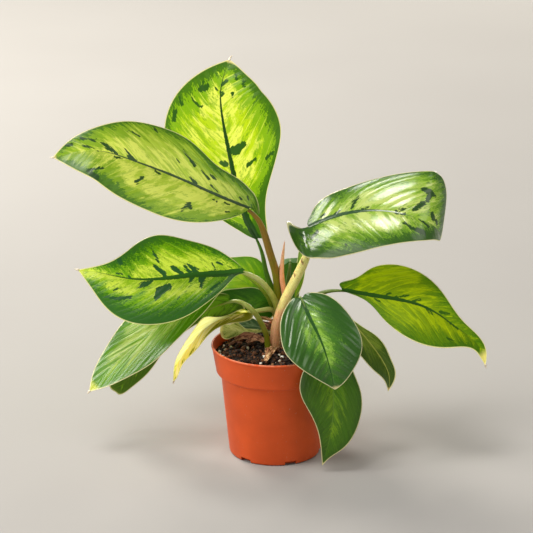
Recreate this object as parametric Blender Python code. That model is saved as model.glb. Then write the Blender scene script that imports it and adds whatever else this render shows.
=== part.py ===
"""Potted homalomena: a nursery pot of soil with a leafy stem, built in metres with +Z up.

The origin is the centre of the pot's flat base. +X runs to the right of the plant's front and -Y is its front.
Leaf and stalk tables are in millimetres and are brought to metres by MM where they are read.
"""
import math
from collections import namedtuple

import bmesh
import bpy
import numpy as np

MM = 0.001

# Pot
POT_HEIGHT = 0.1075
RIM_RADIUS = 0.0602
COLLAR_BOTTOM = 0.0815
COLLAR_LOW_RADIUS = 0.0558
BODY_TOP_RADIUS = 0.0514
BASE_RADIUS = 0.0435
WALL = 0.0015
FLOOR = 0.002
NOTCHES = 6
NOTCH_WIDTH = 0.0115
NOTCH_HEIGHT = 0.004
NOTCH_FIRST_ANGLE = math.radians(-130)
TURN_STEPS = 48

# Soil
SOIL_EDGE_HEIGHT = 0.098
SOIL_MOUND = 0.003
SOIL_LUMP = 0.0009
SOIL_RINGS = 11

# Fits
GAP = 0.0003
HOLE_GAP = 0.0004
HOLE_FLOOR = 0.086

# Leaves, with the columns of each half
BLADE_THICKNESS = 0.0008
BLADE_ROWS = 14
BLADE_COLUMNS = 4
SMALL_ROWS = 9
SMALL_COLUMNS = 2
VEIN_SWEEP = 1.4
ROW_CROWDING = 1.25
WAVE_SIDE_LAG = 2.0
LOBE_REACH = 0.02

# Stalks
STALK_SIDES = 8
STALK_SPACING = 0.006

Leaf = namedtuple("Leaf", "rib faces left right left_bend right_bend span wave colour lobe_shift",
                  defaults=[(0, 0, 0)])
Stalk = namedtuple("Stalk", "route foot_radius top_radius")

FRESH = (0.16, 0.36, 0.04)
DARK = (0.03, 0.14, 0.03)
OLIVE = (0.25, 0.36, 0.09)
YELLOW = (0.72, 0.55, 0.07)

# Each leaf has its midrib's points from base to tip, the ways its upper face looks along it, the margin points
# of its left and right halves as (along, across), the slopes of each half at midrib and margin in degrees,
# the half width over which that slope turns, its edge wave as (waves, height, phase), and how far its lobes
# are shifted at LOBE_REACH behind the stalk.
LEAVES = {
    "leaf_top": Leaf(
        rib=[(-17, 22, 204), (-27, 28, 222), (-40, 42, 266), (-49, 58, 308), (-51, 72, 336), (-43, 86, 361)],
        faces=[(0.25, -0.92, 0.3), (0.1, -0.85, 0.5), (0.05, -0.9, 0.4)],
        left=[(3, 4), (14, 12), (30, 25), (48, 38), (90, 55), (118, 56), (137, 45), (152, 28), (168, 10)],
        right=[(-3, 7), (8, 15), (38, 26), (74, 44), (100, 54), (122, 50), (146, 38), (161, 31), (172, 12)],
        left_bend=(14, -6), right_bend=(14, -8), span=55, wave=(2.5, 1.2, 0.5), colour=FRESH),
    "leaf_high_left": Leaf(
        rib=[(-24, -6, 243), (-53, -14, 258), (-91, -24, 279), (-134, -33, 299), (-160, -38, 308),
             (-202, -42, 303)],
        faces=[(0.35, -0.7, 0.6), (0.2, -0.72, 0.68), (0.05, -0.75, 0.65)],
        left=[(4, 6), (29, 26), (61, 40), (104, 44), (126, 41), (153, 33), (177, 20)],
        right=[(-5, 6), (13, 23), (40, 28), (70, 40), (100, 44), (136, 36), (158, 23), (180, 12)],
        left_bend=(12, -14), right_bend=(10, -16), span=50, wave=(2, 1.2, 1.0), colour=FRESH),
    "leaf_left": Leaf(
        rib=[(-30, -6, 181), (-49, -9, 180), (-72, -12, 180), (-108, -15, 177), (-138, -16, 178),
             (-163, -15, 183), (-184, -12, 185)],
        faces=[(0.1, -0.8, 0.58), (0, -0.8, 0.6), (-0.1, -0.8, 0.6)],
        left=[(7, 3), (23, 18), (53, 37), (81, 44), (101, 43), (122, 32), (143, 13)],
        right=[(-1, 4), (8, 13), (20, 22), (46, 33), (74, 42), (106, 32), (129, 11)],
        left_bend=(8, -12), right_bend=(16, -10), span=48, wave=(2, 1.5, 0), colour=FRESH),
    "leaf_low_left": Leaf(
        rib=[(-37, 2, 180), (-66, 2, 168), (-106, -6, 131), (-153, -16, 90), (-175, -22, 67)],
        faces=[(-0.15, -0.7, 0.7), (-0.3, -0.65, 0.7), (-0.35, -0.7, 0.6)],
        left=[(5, 8), (19, 18), (47, 26), (83, 27), (115, 27), (145, 21), (165, 13)],
        right=[(5, 9), (25, 18), (45, 24), (76, 31), (117, 29), (144, 19), (169, 9)],
        left_bend=(10, -12), right_bend=(10, -12), span=40, wave=(2, 2, 2.0), colour=FRESH),
    "leaf_under_left": Leaf(
        rib=[(-43, 6, 148), (-61, 12, 138), (-98, 22, 110), (-128, 28, 76), (-153, 30, 46)],
        faces=[(-0.3, 0.9, -0.1), (-0.35, 0.85, 0.15), (-0.3, 0.85, 0.3)],
        left=[(-3, 4), (3, 10), (18, 15), (59, 17), (100, 17), (135, 15), (153, 8)],
        right=[(-3, 4), (5, 10), (20, 12), (32, 12), (60, 9), (90, 10), (120, 14), (143, 11), (155, 5)],
        left_bend=(4, -8), right_bend=(4, -8), span=40, wave=(2, 1, 0), colour=DARK),
    "leaf_inner_left": Leaf(
        rib=[(-4, 24, 139), (-19, 22, 144), (-33, 21, 142), (-47, 20, 140), (-57, 20, 137), (-64, 20, 134)],
        faces=[(0.0, -0.9, 0.35), (0.0, -0.9, 0.35)],
        left=[(-2, 5), (13, 10), (28, 13), (42, 14), (55, 11), (61, 4)],
        right=[(6, 5), (14, 10), (25, 12), (38, 13), (49, 11), (56, 5)],
        left_bend=(6, -6), right_bend=(6, -6), span=20, wave=(1, 0, 0), colour=DARK),
    "leaf_yellow": Leaf(
        rib=[(-26, -4, 140), (-50, -6, 134), (-68, -10, 124), (-82, -12, 107), (-91, -12, 93), (-96, -10, 72)],
        faces=[(0.1, -0.9, 0.4), (0.2, -0.9, 0.4), (0.3, -0.9, 0.3)],
        left=[(4, 3), (12, 7), (32, 8), (60, 9), (85, 5), (103, 2)],
        right=[(2, 4), (14, 3), (25, 3), (32, 7), (38, 12), (47, 10), (62, 8), (88, 4)],
        left_bend=(40, 40), right_bend=(40, 40), span=14, wave=(1, 0, 0), colour=YELLOW),
    "leaf_high_right": Leaf(
        rib=[(31, 4, 222), (57, -4, 235), (84, -10, 242), (115, -18, 242), (138, -20, 235), (150, -8, 223),
             (155, 10, 208)],
        faces=[(-0.05, -0.72, 0.7), (0.0, -0.75, 0.66), (0.1, -0.75, 0.6), (0.85, -0.5, 0.1)],
        left=[(-3, 6), (16, 19), (45, 26), (72, 35), (92, 43), (109, 49), (128, 48), (140, 38), (150, 17)],
        right=[(-15, 3), (-26, 6), (-25, 15), (-8, 29), (28, 41), (76, 37), (109, 24), (130, 13), (148, 7)],
        left_bend=(8, -10), right_bend=(14, -30), span=45, wave=(2, 1.5, 0), colour=FRESH,
        lobe_shift=(1, -5, 18)),
    "leaf_right": Leaf(
        rib=[(62, -8, 164), (85, -13, 161), (106, -18, 159), (127, -22, 156), (145, -26, 150), (170, -32, 134),
             (190, -36, 117), (196, -37, 99)],
        faces=[(0.2, -0.7, 0.7), (0.3, -0.65, 0.7), (0.45, -0.6, 0.65)],
        left=[(-3, 4), (7, 12), (22, 27), (49, 37), (78, 28), (99, 16), (128, 7), (151, 3)],
        right=[(5, 2), (28, 9), (46, 25), (74, 39), (110, 32), (140, 8), (152, 3)],
        left_bend=(10, -6), right_bend=(10, -12), span=45, wave=(2, 2, 0.7), colour=FRESH),
    "leaf_front": Leaf(
        rib=[(24, -40, 167), (31, -50, 153), (38, -58, 141), (45, -66, 126), (51, -71, 106), (55, -73, 89)],
        faces=[(0.0, -0.85, 0.55), (0.05, -0.9, 0.4), (0.1, -0.95, 0.3)],
        left=[(-2, 4), (-1, 12), (6, 23), (31, 34), (60, 35), (79, 20), (89, 7)],
        right=[(-2, 4), (2, 15), (16, 28), (41, 35), (64, 26), (84, 8)],
        left_bend=(10, -20), right_bend=(10, -20), span=42, wave=(2, 1, 0), colour=DARK),
    "leaf_hanging": Leaf(
        rib=[(52, -48, 113), (53, -56, 94), (54, -61, 67), (52, -62, 45), (48, -61, 24), (44, -58, 7)],
        faces=[(0.1, -0.9, 0.4), (0.12, -0.95, 0.2), (0.1, -0.98, 0.1)],
        left=[(-3, 7), (16, 20), (42, 27), (67, 24), (88, 14), (99, 5)],
        right=[(-3, 8), (11, 26), (30, 31), (54, 22), (74, 12), (100, 3)],
        left_bend=(8, -12), right_bend=(8, -12), span=34, wave=(1.5, 1.5, 0), colour=FRESH),
    "leaf_low_right": Leaf(
        rib=[(65, -16, 139), (79, -20, 127), (91, -24, 113), (102, -27, 97), (107, -29, 82), (106, -29, 70)],
        faces=[(0.35, -0.7, 0.6), (0.4, -0.8, 0.5), (0.4, -0.85, 0.3)],
        left=[(2, 2), (18, 5), (31, 9), (45, 10), (57, 8), (69, 7), (79, 3)],
        right=[(2, 8), (20, 22), (36, 23), (55, 19), (73, 8), (81, 3)],
        left_bend=(20, 10), right_bend=(30, 20), span=24, wave=(1, 0, 0), colour=DARK),
    "leaf_back_left": Leaf(
        rib=[(-16, 34, 147), (-33, 46, 155), (-57, 60, 158), (-87, 72, 154), (-113, 80, 139)],
        faces=[(0.0, -0.6, 0.8), (-0.1, -0.6, 0.8), (-0.2, -0.6, 0.8)],
        left=[(-6, 5), (2, 16), (25, 28), (60, 29), (97, 15)],
        right=[(-4, 8), (14, 23), (33, 23), (55, 20), (80, 15), (100, 8)],
        left_bend=(8, -6), right_bend=(8, -10), span=36, wave=(1.5, 1.5, 0), colour=FRESH),
    "leaf_back": Leaf(
        rib=[(14, 27, 179), (14, 38, 179), (14, 55, 161), (13, 70, 136), (12, 80, 106), (11, 84, 64)],
        faces=[(0, -0.2, 1), (0, 0.7, 0.7), (0, 1, 0.3), (0, 1, 0.2)],
        left=[(-3, 4), (8, 6), (28, 7), (50, 9), (75, 19), (103, 24), (126, 15)],
        right=[(-3, 4), (8, 7), (28, 8), (50, 10), (75, 22), (103, 26), (126, 17)],
        left_bend=(10, -12), right_bend=(10, -12), span=34, wave=(2, 1.5, 0), colour=DARK),
    "leaf_narrow": Leaf(
        rib=[(18, 12, 149), (22, 14, 166), (23.5, 16, 183), (25, 18, 196), (28, 21, 211)],
        faces=[(-0.9, -0.35, 0.2), (-0.9, -0.35, 0.2)],
        left=[(2, 3), (10, 7), (28, 10), (47, 9), (60, 3)],
        right=[(2, 3), (10, 7), (28, 10), (47, 9), (60, 3)],
        left_bend=(25, 15), right_bend=(25, 15), span=12, wave=(1, 0, 0), colour=FRESH),
    "leaf_wilted": Leaf(
        rib=[(-13, 26, 110), (-30, 28, 109), (-43, 26, 110), (-51, 22, 111)],
        faces=[(0.0, -0.9, 0.4), (0.1, -0.9, 0.4)],
        left=[(2, 1.5), (9, 2), (16, 3), (25, 6), (31, 8), (38, 6)],
        right=[(2, 1.5), (9, 2), (18, 4), (25, 8), (32, 8), (38, 6)],
        left_bend=(10, -10), right_bend=(20, 20), span=12, wave=(1, 0, 0), colour=OLIVE),
    "leaf_grey": Leaf(
        rib=[(-10, 30, 112), (-22, 34, 113), (-31, 38, 115), (-38, 42, 115)],
        faces=[(0.0, -0.8, 0.6), (0.0, -0.8, 0.6)],
        left=[(1, 2), (6, 4), (14, 6), (24, 4)],
        right=[(1, 2), (7, 5), (16, 7), (24, 4)],
        left_bend=(10, -10), right_bend=(10, -10), span=12, wave=(1, 0, 0), colour=DARK),
}

# The leaves with few cells, because they are small or narrow
SMALL_LEAVES = {"leaf_inner_left", "leaf_yellow", "leaf_narrow", "leaf_wilted", "leaf_grey", "leaf_low_right"}

CROWN = Stalk([(4, 22, 86.3), (4, 22, 108), (4, 19, 134)], 8.5, 5.5)

# Stalks that grew together at the crown, from there to their blades
STEM_STALKS = {
    "leaf_top": Stalk([(4, 21, 124), (0, 20, 146), (-9, 20, 174), (-12, 21, 189)], 3.4, 2.0),
    "leaf_high_left": Stalk([(5, 18, 122), (3.6, 15, 146), (0, 10, 177), (-5, 6, 196), (-10, 3, 215),
                             (-18, -1, 233)], 3.9, 2.9),
    "leaf_left": Stalk([(4, 15, 124), (1, 11, 143), (-6, 6, 158), (-12, 2, 167), (-21, -2, 175)], 3.2, 2.3),
    "leaf_low_left": Stalk([(2, 20, 122), (-4, 16, 143), (-12, 10, 158), (-24, 6, 171)], 2.8, 2.0),
    "leaf_inner_left": Stalk([(4, 22, 116), (1, 25, 131)], 2.4, 1.6),
    "leaf_yellow": Stalk([(3, 17, 126), (-3, 11, 137), (-13, 4, 139)], 2.8, 2.0),
    "leaf_right": Stalk([(7, 18, 122), (24, 12, 140), (42, 3, 156)], 3.0, 2.0),
    "leaf_front": Stalk([(7, 16, 120), (16, -5, 138), (21, -26, 157)], 3.0, 2.2),
    "leaf_hanging": Stalk([(7, 16, 112), (22, -12, 127), (40, -34, 130)], 3.0, 2.0),
    "leaf_low_right": Stalk([(8, 20, 114), (30, 8, 131), (50, -6, 142)], 2.8, 1.8),
    "leaf_back_left": Stalk([(2, 24, 120), (-5, 30, 138)], 2.8, 2.0),
    "leaf_back": Stalk([(6, 22, 118), (9, 25, 140), (12.5, 25.5, 162)], 3.0, 2.0),
    "leaf_narrow": Stalk([(7, 19, 126), (15, 14, 141)], 2.4, 1.4),
    "leaf_wilted": Stalk([(2, 23, 106), (-6, 25, 109)], 1.8, 1.2),
    "leaf_grey": Stalk([(2, 24, 106), (-4, 28, 110)], 1.8, 1.2),
}

# Stalks of the two leaves that come up out of the soil by themselves
LONE_STALKS = {
    "leaf_high_right": Stalk([(-0.3, 5.5, 86.3), (-0.3, 5.4, 103), (0, 3.6, 113), (1, 2, 124), (4, 1, 135),
                              (9, 0, 150), (16, 0, 165), (23, 1, 179), (30, 3, 195), (33, 5, 208)], 4.3, 3.6),
    "leaf_under_left": Stalk([(-7, 0.2, 86.3), (-7, 0.2, 103), (-7.6, -1, 112.5), (-10.5, -4, 123.5),
                              (-16.4, -8, 136.7), (-23.5, -10.5, 146.5), (-33, -6, 151)], 2.4, 2.0),
}

NEW_LEAF = Stalk([(8.6, 11, 142), (9, 8.2, 151), (7, 8.3, 166), (6.4, 8.6, 178), (7.2, 9, 191), (9, 10, 206)],
                 2.2, 0.3)
NEW_LEAF_SWELL = 2.5


def clear_scene():
    """Removes the scene's objects."""
    for thing in list(bpy.data.objects):
        bpy.data.objects.remove(thing)


def finish_material(name, colour, roughness):
    """A plain Principled material of the piece's colour."""
    material = bpy.data.materials.new(name)
    material.use_nodes = True
    shader = material.node_tree.nodes["Principled BSDF"]
    shader.inputs["Base Color"].default_value = (*colour, 1)
    shader.inputs["Roughness"].default_value = roughness
    return material


def add_object(name, points, faces, material=None):
    """A closed mesh object from points and faces, with its faces turned outwards and shaded smooth."""
    mesh = bpy.data.meshes.new(name)
    mesh.from_pydata([tuple(map(float, p)) for p in points], [], faces)
    work = bmesh.new()
    work.from_mesh(mesh)
    bmesh.ops.recalc_face_normals(work, faces=work.faces)
    work.to_mesh(mesh)
    work.free()
    mesh.shade_smooth()
    mesh.set_sharp_from_angle(angle=math.radians(40))
    if material:
        mesh.materials.append(material)
    thing = bpy.data.objects.new(name, mesh)
    bpy.context.scene.collection.objects.link(thing)
    return thing


def spline(knots, values, where):
    """Natural cubic spline through values at knots, read at where."""
    knots = np.asarray(knots, float)
    values = np.asarray(values, float)
    count = len(knots)
    gaps = np.diff(knots)
    matrix = np.eye(count)
    target = np.zeros_like(values)
    for i in range(1, count - 1):
        matrix[i, i - 1:i + 2] = gaps[i - 1], 2 * (gaps[i - 1] + gaps[i]), gaps[i]
        target[i] = 6 * ((values[i + 1] - values[i]) / gaps[i] - (values[i] - values[i - 1]) / gaps[i - 1])
    bend = np.linalg.solve(matrix, target)
    k = np.clip(np.searchsorted(knots, where) - 1, 0, count - 2)
    gap = gaps[k][:, None]
    before = ((knots[k + 1] - where) / gaps[k])[:, None]
    after = 1 - before
    curved = (before ** 3 - before) * bend[k] + (after ** 3 - after) * bend[k + 1]
    return before * values[k] + after * values[k + 1] + curved * gap ** 2 / 6


def curve_through(points, count):
    """Points spaced evenly by length along a smooth curve through the given ones, and its length."""
    points = np.asarray(points, float)
    knots = np.concatenate([[0], np.cumsum(np.linalg.norm(np.diff(points, axis=0), axis=1))])
    fine = spline(knots, points, np.linspace(0, knots[-1], 400))
    run = np.concatenate([[0], np.cumsum(np.linalg.norm(np.diff(fine, axis=0), axis=1))])
    wanted = np.linspace(0, run[-1], count)
    return np.stack([np.interp(wanted, run, column) for column in fine.T], -1), run[-1]


def unit(vectors):
    """The vectors at length one."""
    return vectors / np.linalg.norm(vectors, axis=-1, keepdims=True)


def read_along(field, share):
    """Rows of field at the given shares of its length."""
    at = share * (len(field) - 1)
    return np.stack([np.interp(at, np.arange(len(field)), column) for column in field.T], -1)


class BladeForm:
    """A leaf blade's bent sheet: maps (along, across) in its own plane to space."""

    def __init__(self, leaf):
        self.leaf = leaf
        self.rib, self.length = curve_through(np.array(leaf.rib) * MM, 80)
        self.along = unit(np.gradient(self.rib, axis=0))
        facing = read_along(np.array(leaf.faces, float), np.linspace(0, 1, 80))
        self.side = unit(np.cross(self.along, facing))
        self.up = np.cross(self.side, self.along)

    def place(self, along, across):
        """The midrib's point plus each half's arc, whose slope turns evenly from midrib to margin."""
        leaf = self.leaf
        share = np.clip(along / self.length, 0, 1)
        base = read_along(self.rib, share)
        base = base + read_along(self.along, share) * (along - share * self.length)[..., None]
        is_left = across < 0
        first = np.radians(np.where(is_left, leaf.left_bend[0], leaf.right_bend[0]))
        turn = np.radians(np.where(is_left, leaf.left_bend[1], leaf.right_bend[1])) - first
        turn = np.where(np.abs(turn) < 1e-4, 1e-4, turn)
        span = leaf.span * MM
        reach = np.abs(across) / span
        out = span * (np.sin(first + turn * reach) - np.sin(first)) / turn
        lift = span * (np.cos(first) - np.cos(first + turn * reach)) / turn
        waves, height, phase = leaf.wave
        angle = 2 * math.pi * waves * share + phase + np.where(is_left, 0, WAVE_SIDE_LAG)
        lift = lift + height * MM * reach ** 2 * np.sin(angle)
        behind = (np.minimum(along, 0) / LOBE_REACH) ** 2
        base = base + behind[..., None] * np.array(leaf.lobe_shift) * MM
        sideways = read_along(self.side, share) * (np.sign(across) * out)[..., None]
        return base + sideways + read_along(self.up, share) * lift[..., None]

    def margin(self, points, rows):
        """A margin's rows of (along, across), from the stalk's joint round to the tip."""
        joint = (0, 1.1)
        outline = np.array([joint, *points, (self.length / MM, 0)]) * MM
        return curve_through(outline, rows + 1)[0][:-1]


def blade_grid(form, rows, columns):
    """Grid of the blade's middle sheet, rows from base to tip, columns from left margin to right margin."""
    left = form.margin(form.leaf.left, rows)
    right = form.margin(form.leaf.right, rows)
    rib_along = form.length * (np.arange(rows) / rows) ** ROW_CROWDING
    across = np.linspace(-1, 1, 2 * columns + 1)
    edge = np.where(across[None, :, None] < 0, left[:, None], right[:, None])
    outward = np.abs(across)[None, :]
    along = rib_along[:, None] + (edge[..., 0] - rib_along[:, None]) * outward ** VEIN_SWEEP
    return form.place(along, across[None, :] * edge[..., 1])


def blade_mesh(form, rows, columns):
    """The blade as a closed sheet: two like grids a thickness apart, a rim, and one point at the tip."""
    middle = blade_grid(form, rows, columns)
    normal = unit(np.cross(np.gradient(middle, axis=0), np.gradient(middle, axis=1)))
    width = middle.shape[1]
    top = (middle - normal * BLADE_THICKNESS / 2).reshape(-1, 3)
    bottom = (middle + normal * BLADE_THICKNESS / 2).reshape(-1, 3)
    tip = form.place(np.array(form.length), np.array(0.0))
    points = np.concatenate([top, bottom, tip[None]])
    under = len(top)
    last = 2 * under
    faces = []
    for row in range(rows - 1):
        for column in range(width - 1):
            a = row * width + column
            b, c, d = a + 1, a + width + 1, a + width
            faces += [(a, b, c), (a, c, d)]
            faces += [(a + under, c + under, b + under), (a + under, d + under, c + under)]
    end = (rows - 1) * width
    for column in range(width - 1):
        a, b = end + column, end + column + 1
        faces += [(a, b, last), (b + under, a + under, last)]
        faces += [(column + 1, column, column + under), (column + 1, column + under, column + 1 + under)]
    for row in range(rows - 1):
        for first in (row * width, row * width + width - 1):
            second = first + width
            faces += [(first, second, second + under), (first, second + under, first + under)]
    for corner in (end, end + width - 1):
        faces.append((corner, last, corner + under))
    return points, faces


def tube_mesh(route, radii, sides=STALK_SIDES):
    """A round tube along a smooth curve, its rings turned as little as possible, closed by flat ends."""
    centres, length = curve_through(route, 60)
    count = max(4, int(length / STALK_SPACING))
    centres, length = curve_through(route, count)
    along = unit(np.gradient(centres, axis=0))
    across = np.array([1.0, 0.0, 0.0])
    share = np.linspace(0, 1, count)
    sizes = np.interp(share, np.linspace(0, 1, len(radii)), radii)
    turns = np.linspace(0, 2 * math.pi, sides, endpoint=False)
    rings = []
    for centre, direction, size in zip(centres, along, sizes):
        across = unit(across - direction * (across @ direction))
        other = np.cross(direction, across)
        rings.append(centre + size * (np.outer(np.cos(turns), across) + np.outer(np.sin(turns), other)))
    points = np.concatenate(rings)
    faces = [tuple(range(sides))[::-1], tuple(range((count - 1) * sides, count * sides))]
    for ring in range(count - 1):
        for side in range(sides):
            a = ring * sides + side
            b = ring * sides + (side + 1) % sides
            faces.append((a, b, b + sides, a + sides))
    return points, faces


def stalk_end(form, radius, approach):
    """Where a stalk's end lies under the blade's base, clear of it by GAP."""
    up, base = form.up[0], form.rib[0]
    direction = unit(base - approach)
    tilt = math.sqrt(max(0.0, 1 - float(direction @ up) ** 2))
    return base - up * (BLADE_THICKNESS / 2 + GAP + radius * tilt)


def stalk_mesh(stalk, form=None):
    """A stalk's tube, from its foot to its blade where it carries one."""
    route = np.array(stalk.route, float) * MM
    radii = [stalk.foot_radius * MM, stalk.top_radius * MM]
    if form:
        route = np.concatenate([route, stalk_end(form, radii[1], route[-1])[None]])
    return tube_mesh(route, radii)


def apply_boolean(thing, operation, others):
    """Joins or cuts thing with the other objects in one exact Boolean, applies it and removes them."""
    group = bpy.data.collections.new(thing.name + "_others")
    bpy.context.scene.collection.children.link(group)
    for other in others:
        bpy.context.scene.collection.objects.unlink(other)
        group.objects.link(other)
    modifier = thing.modifiers.new("join", "BOOLEAN")
    modifier.operation = operation
    modifier.operand_type = "COLLECTION"
    modifier.collection = group
    modifier.solver = "EXACT"
    evaluated = thing.evaluated_get(bpy.context.evaluated_depsgraph_get())
    mesh = bpy.data.meshes.new_from_object(evaluated)
    thing.modifiers.clear()
    thing.data = mesh
    for other in others:
        bpy.data.objects.remove(other)
    bpy.data.collections.remove(group)


def turned_mesh(profile):
    """A closed turned body from a profile of (radius, height) that starts and ends on the axis."""
    angles = np.linspace(0, 2 * math.pi, TURN_STEPS, endpoint=False)
    circle = np.stack([np.cos(angles), np.sin(angles)], -1)
    points = [(0, 0, profile[0][1]), (0, 0, profile[-1][1])]
    for radius, height in profile[1:-1]:
        points += [(radius * x, radius * y, height) for x, y in circle]
    faces = []
    rings = len(profile) - 2
    for step in range(TURN_STEPS):
        following = (step + 1) % TURN_STEPS
        faces.append((0, 2 + following, 2 + step))
        outermost = 2 + (rings - 1) * TURN_STEPS
        faces.append((1, outermost + step, outermost + following))
        for ring in range(rings - 1):
            a = 2 + ring * TURN_STEPS
            b = a + TURN_STEPS
            faces.append((a + step, a + following, b + following, b + step))
    return points, faces


def collar_inner_radius(height):
    """The pot's inner radius at a height inside the collar."""
    share = (height - COLLAR_BOTTOM) / (POT_HEIGHT - COLLAR_BOTTOM)
    return COLLAR_LOW_RADIUS - WALL + share * (RIM_RADIUS - COLLAR_LOW_RADIUS)


def make_pot():
    """The pot: a tapered body, a rounded step out to the collar, a beaded rim and a flat base."""
    step = COLLAR_BOTTOM
    profile = [
        (0, 0), (BASE_RADIUS - 0.003, 0), (BASE_RADIUS - 0.0009, 0.0006), (BASE_RADIUS, 0.0026),
        (BODY_TOP_RADIUS - 0.0002, step - 0.003), (BODY_TOP_RADIUS + 0.0006, step - 0.0018),
        (COLLAR_LOW_RADIUS - 0.0012, step - 0.0008), (COLLAR_LOW_RADIUS - 0.0003, step + 0.0001),
        (COLLAR_LOW_RADIUS, step + 0.0014),
        (RIM_RADIUS - 0.0006, POT_HEIGHT - 0.0026), (RIM_RADIUS, POT_HEIGHT - 0.0019),
        (RIM_RADIUS, POT_HEIGHT - 0.0008), (RIM_RADIUS - 0.0006, POT_HEIGHT),
        (RIM_RADIUS - WALL, POT_HEIGHT - 0.0002), (RIM_RADIUS - WALL - 0.0003, POT_HEIGHT - 0.0012),
        (COLLAR_LOW_RADIUS - WALL, step + 0.0026), (COLLAR_LOW_RADIUS - WALL - 0.0008, step + 0.0014),
        (BODY_TOP_RADIUS - WALL + 0.0006, step + 0.0002), (BODY_TOP_RADIUS - WALL, step - 0.001),
        (BASE_RADIUS - WALL, FLOOR + 0.0016), (BASE_RADIUS - WALL - 0.0014, FLOOR), (0, FLOOR),
    ]
    plastic = finish_material("pot_plastic", (0.56, 0.095, 0.03), 0.5)
    pot = add_object("pot", *turned_mesh(profile), plastic)
    cut_notches(pot)
    return pot


def cut_notches(pot):
    """Cuts the drainage notches out of the bottom corner, evenly round it."""
    cutters = []
    for step in range(NOTCHES):
        angle = NOTCH_FIRST_ANGLE + step * 2 * math.pi / NOTCHES
        outward = np.array([math.cos(angle), math.sin(angle), 0])
        across = np.array([-outward[1], outward[0], 0])
        corners = []
        for height in (-0.001, NOTCH_HEIGHT):
            for reach in (BASE_RADIUS - 0.0055, BASE_RADIUS + 0.003):
                for half in (-0.5, 0.5):
                    corners.append(outward * reach + across * half * NOTCH_WIDTH + np.array([0, 0, height]))
        faces = [(0, 1, 3, 2), (4, 6, 7, 5), (0, 4, 5, 1), (2, 3, 7, 6), (0, 2, 6, 4), (1, 5, 7, 3)]
        cutters.append(add_object("notch_cutter", corners, faces))
    apply_boolean(pot, "DIFFERENCE", cutters)
    pot.data.shade_smooth()
    pot.data.set_sharp_from_angle(angle=math.radians(40))


def soil_height(x, y):
    """The soil's top: a low mound with rounded lumps of two sizes."""
    mound = SOIL_MOUND * (1 - (x ** 2 + y ** 2) / RIM_RADIUS ** 2)
    coarse = np.sin(x * 290 + 1.3) * np.cos(y * 330 + 0.4)
    fine = np.sin(x * 610 - y * 450) * np.cos(y * 720 + x * 260)
    return SOIL_EDGE_HEIGHT + mound + SOIL_LUMP * (0.6 * coarse + 0.4 * fine)


def make_soil(feet):
    """The soil: it fills the pot's inside with a gap all round, and has a plain hole for each foot."""
    angles = np.linspace(0, 2 * math.pi, TURN_STEPS, endpoint=False)
    edge = collar_inner_radius(SOIL_EDGE_HEIGHT) - GAP
    points = [(0, 0, soil_height(0, 0)), (0, 0, FLOOR + GAP)]
    for ring in range(1, SOIL_RINGS + 1):
        radius = edge * ring / SOIL_RINGS
        x, y = radius * np.cos(angles), radius * np.sin(angles)
        height = soil_height(x, y) if ring < SOIL_RINGS else np.full_like(x, SOIL_EDGE_HEIGHT)
        points += list(zip(x, y, height))
    side = [
        (COLLAR_LOW_RADIUS - WALL - GAP, COLLAR_BOTTOM + 0.003),
        (BODY_TOP_RADIUS - WALL - GAP, COLLAR_BOTTOM + 0.001),
        (BODY_TOP_RADIUS - WALL - GAP, COLLAR_BOTTOM - 0.001), (BASE_RADIUS - WALL - GAP, FLOOR + 0.002),
        (BASE_RADIUS - WALL - 0.002, FLOOR + GAP),
    ]
    for radius, height in side:
        points += [(radius * math.cos(a), radius * math.sin(a), height) for a in angles]
    faces = []
    rings = SOIL_RINGS + len(side)
    for step in range(TURN_STEPS):
        following = (step + 1) % TURN_STEPS
        faces.append((0, 2 + step, 2 + following))
        lowest = 2 + (rings - 1) * TURN_STEPS
        faces.append((1, lowest + following, lowest + step))
        for ring in range(rings - 1):
            a = 2 + ring * TURN_STEPS
            b = a + TURN_STEPS
            faces += [(a + step, b + step, b + following), (a + step, b + following, a + following)]
    earth = finish_material("soil_earth", (0.022, 0.014, 0.009), 0.95)
    soil = add_object("soil", points, faces, earth)
    cutters = []
    for x, y, radius in feet:
        reach = radius * MM + HOLE_GAP
        floor, lid = HOLE_FLOOR, POT_HEIGHT
        route = [(x * MM, y * MM, floor), (x * MM, y * MM, (floor + lid) / 2), (x * MM, y * MM, lid)]
        cutters.append(add_object("hole_cutter", *tube_mesh(route, [reach, reach], sides=16)))
    apply_boolean(soil, "DIFFERENCE", cutters)
    return soil


def make_leaves():
    """All the blades, each in its own node, and their forms by name."""
    forms = {}
    for name, leaf in LEAVES.items():
        forms[name] = BladeForm(leaf)
        rows, columns = (SMALL_ROWS, SMALL_COLUMNS) if name in SMALL_LEAVES else (BLADE_ROWS, BLADE_COLUMNS)
        skin = finish_material(name + "_skin", leaf.colour, 0.35)
        add_object(name, *blade_mesh(forms[name], rows, columns), skin)
    return forms


def make_stem(forms):
    """The crown with the stalks that grew from it, joined into one body."""
    green = finish_material("stem_skin", (0.2, 0.28, 0.06), 0.4)
    stem = add_object("stem", *stalk_mesh(CROWN), green)
    stalks = []
    for name, stalk in STEM_STALKS.items():
        stalks.append(add_object("stalk_of_" + name, *stalk_mesh(stalk, forms[name])))
    apply_boolean(stem, "UNION", stalks)
    stem.data.shade_smooth()
    stem.data.set_sharp_from_angle(angle=math.radians(40))


def make_lone_stalks(forms):
    """The stalks that stand in the soil by themselves."""
    colours = {"leaf_high_right": (0.6, 0.52, 0.22), "leaf_under_left": (0.25, 0.34, 0.06)}
    for name, stalk in LONE_STALKS.items():
        skin = finish_material(name.replace("leaf", "stalk") + "_skin", colours[name], 0.4)
        add_object(name.replace("leaf", "stalk"), *stalk_mesh(stalk, forms[name]), skin)


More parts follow.
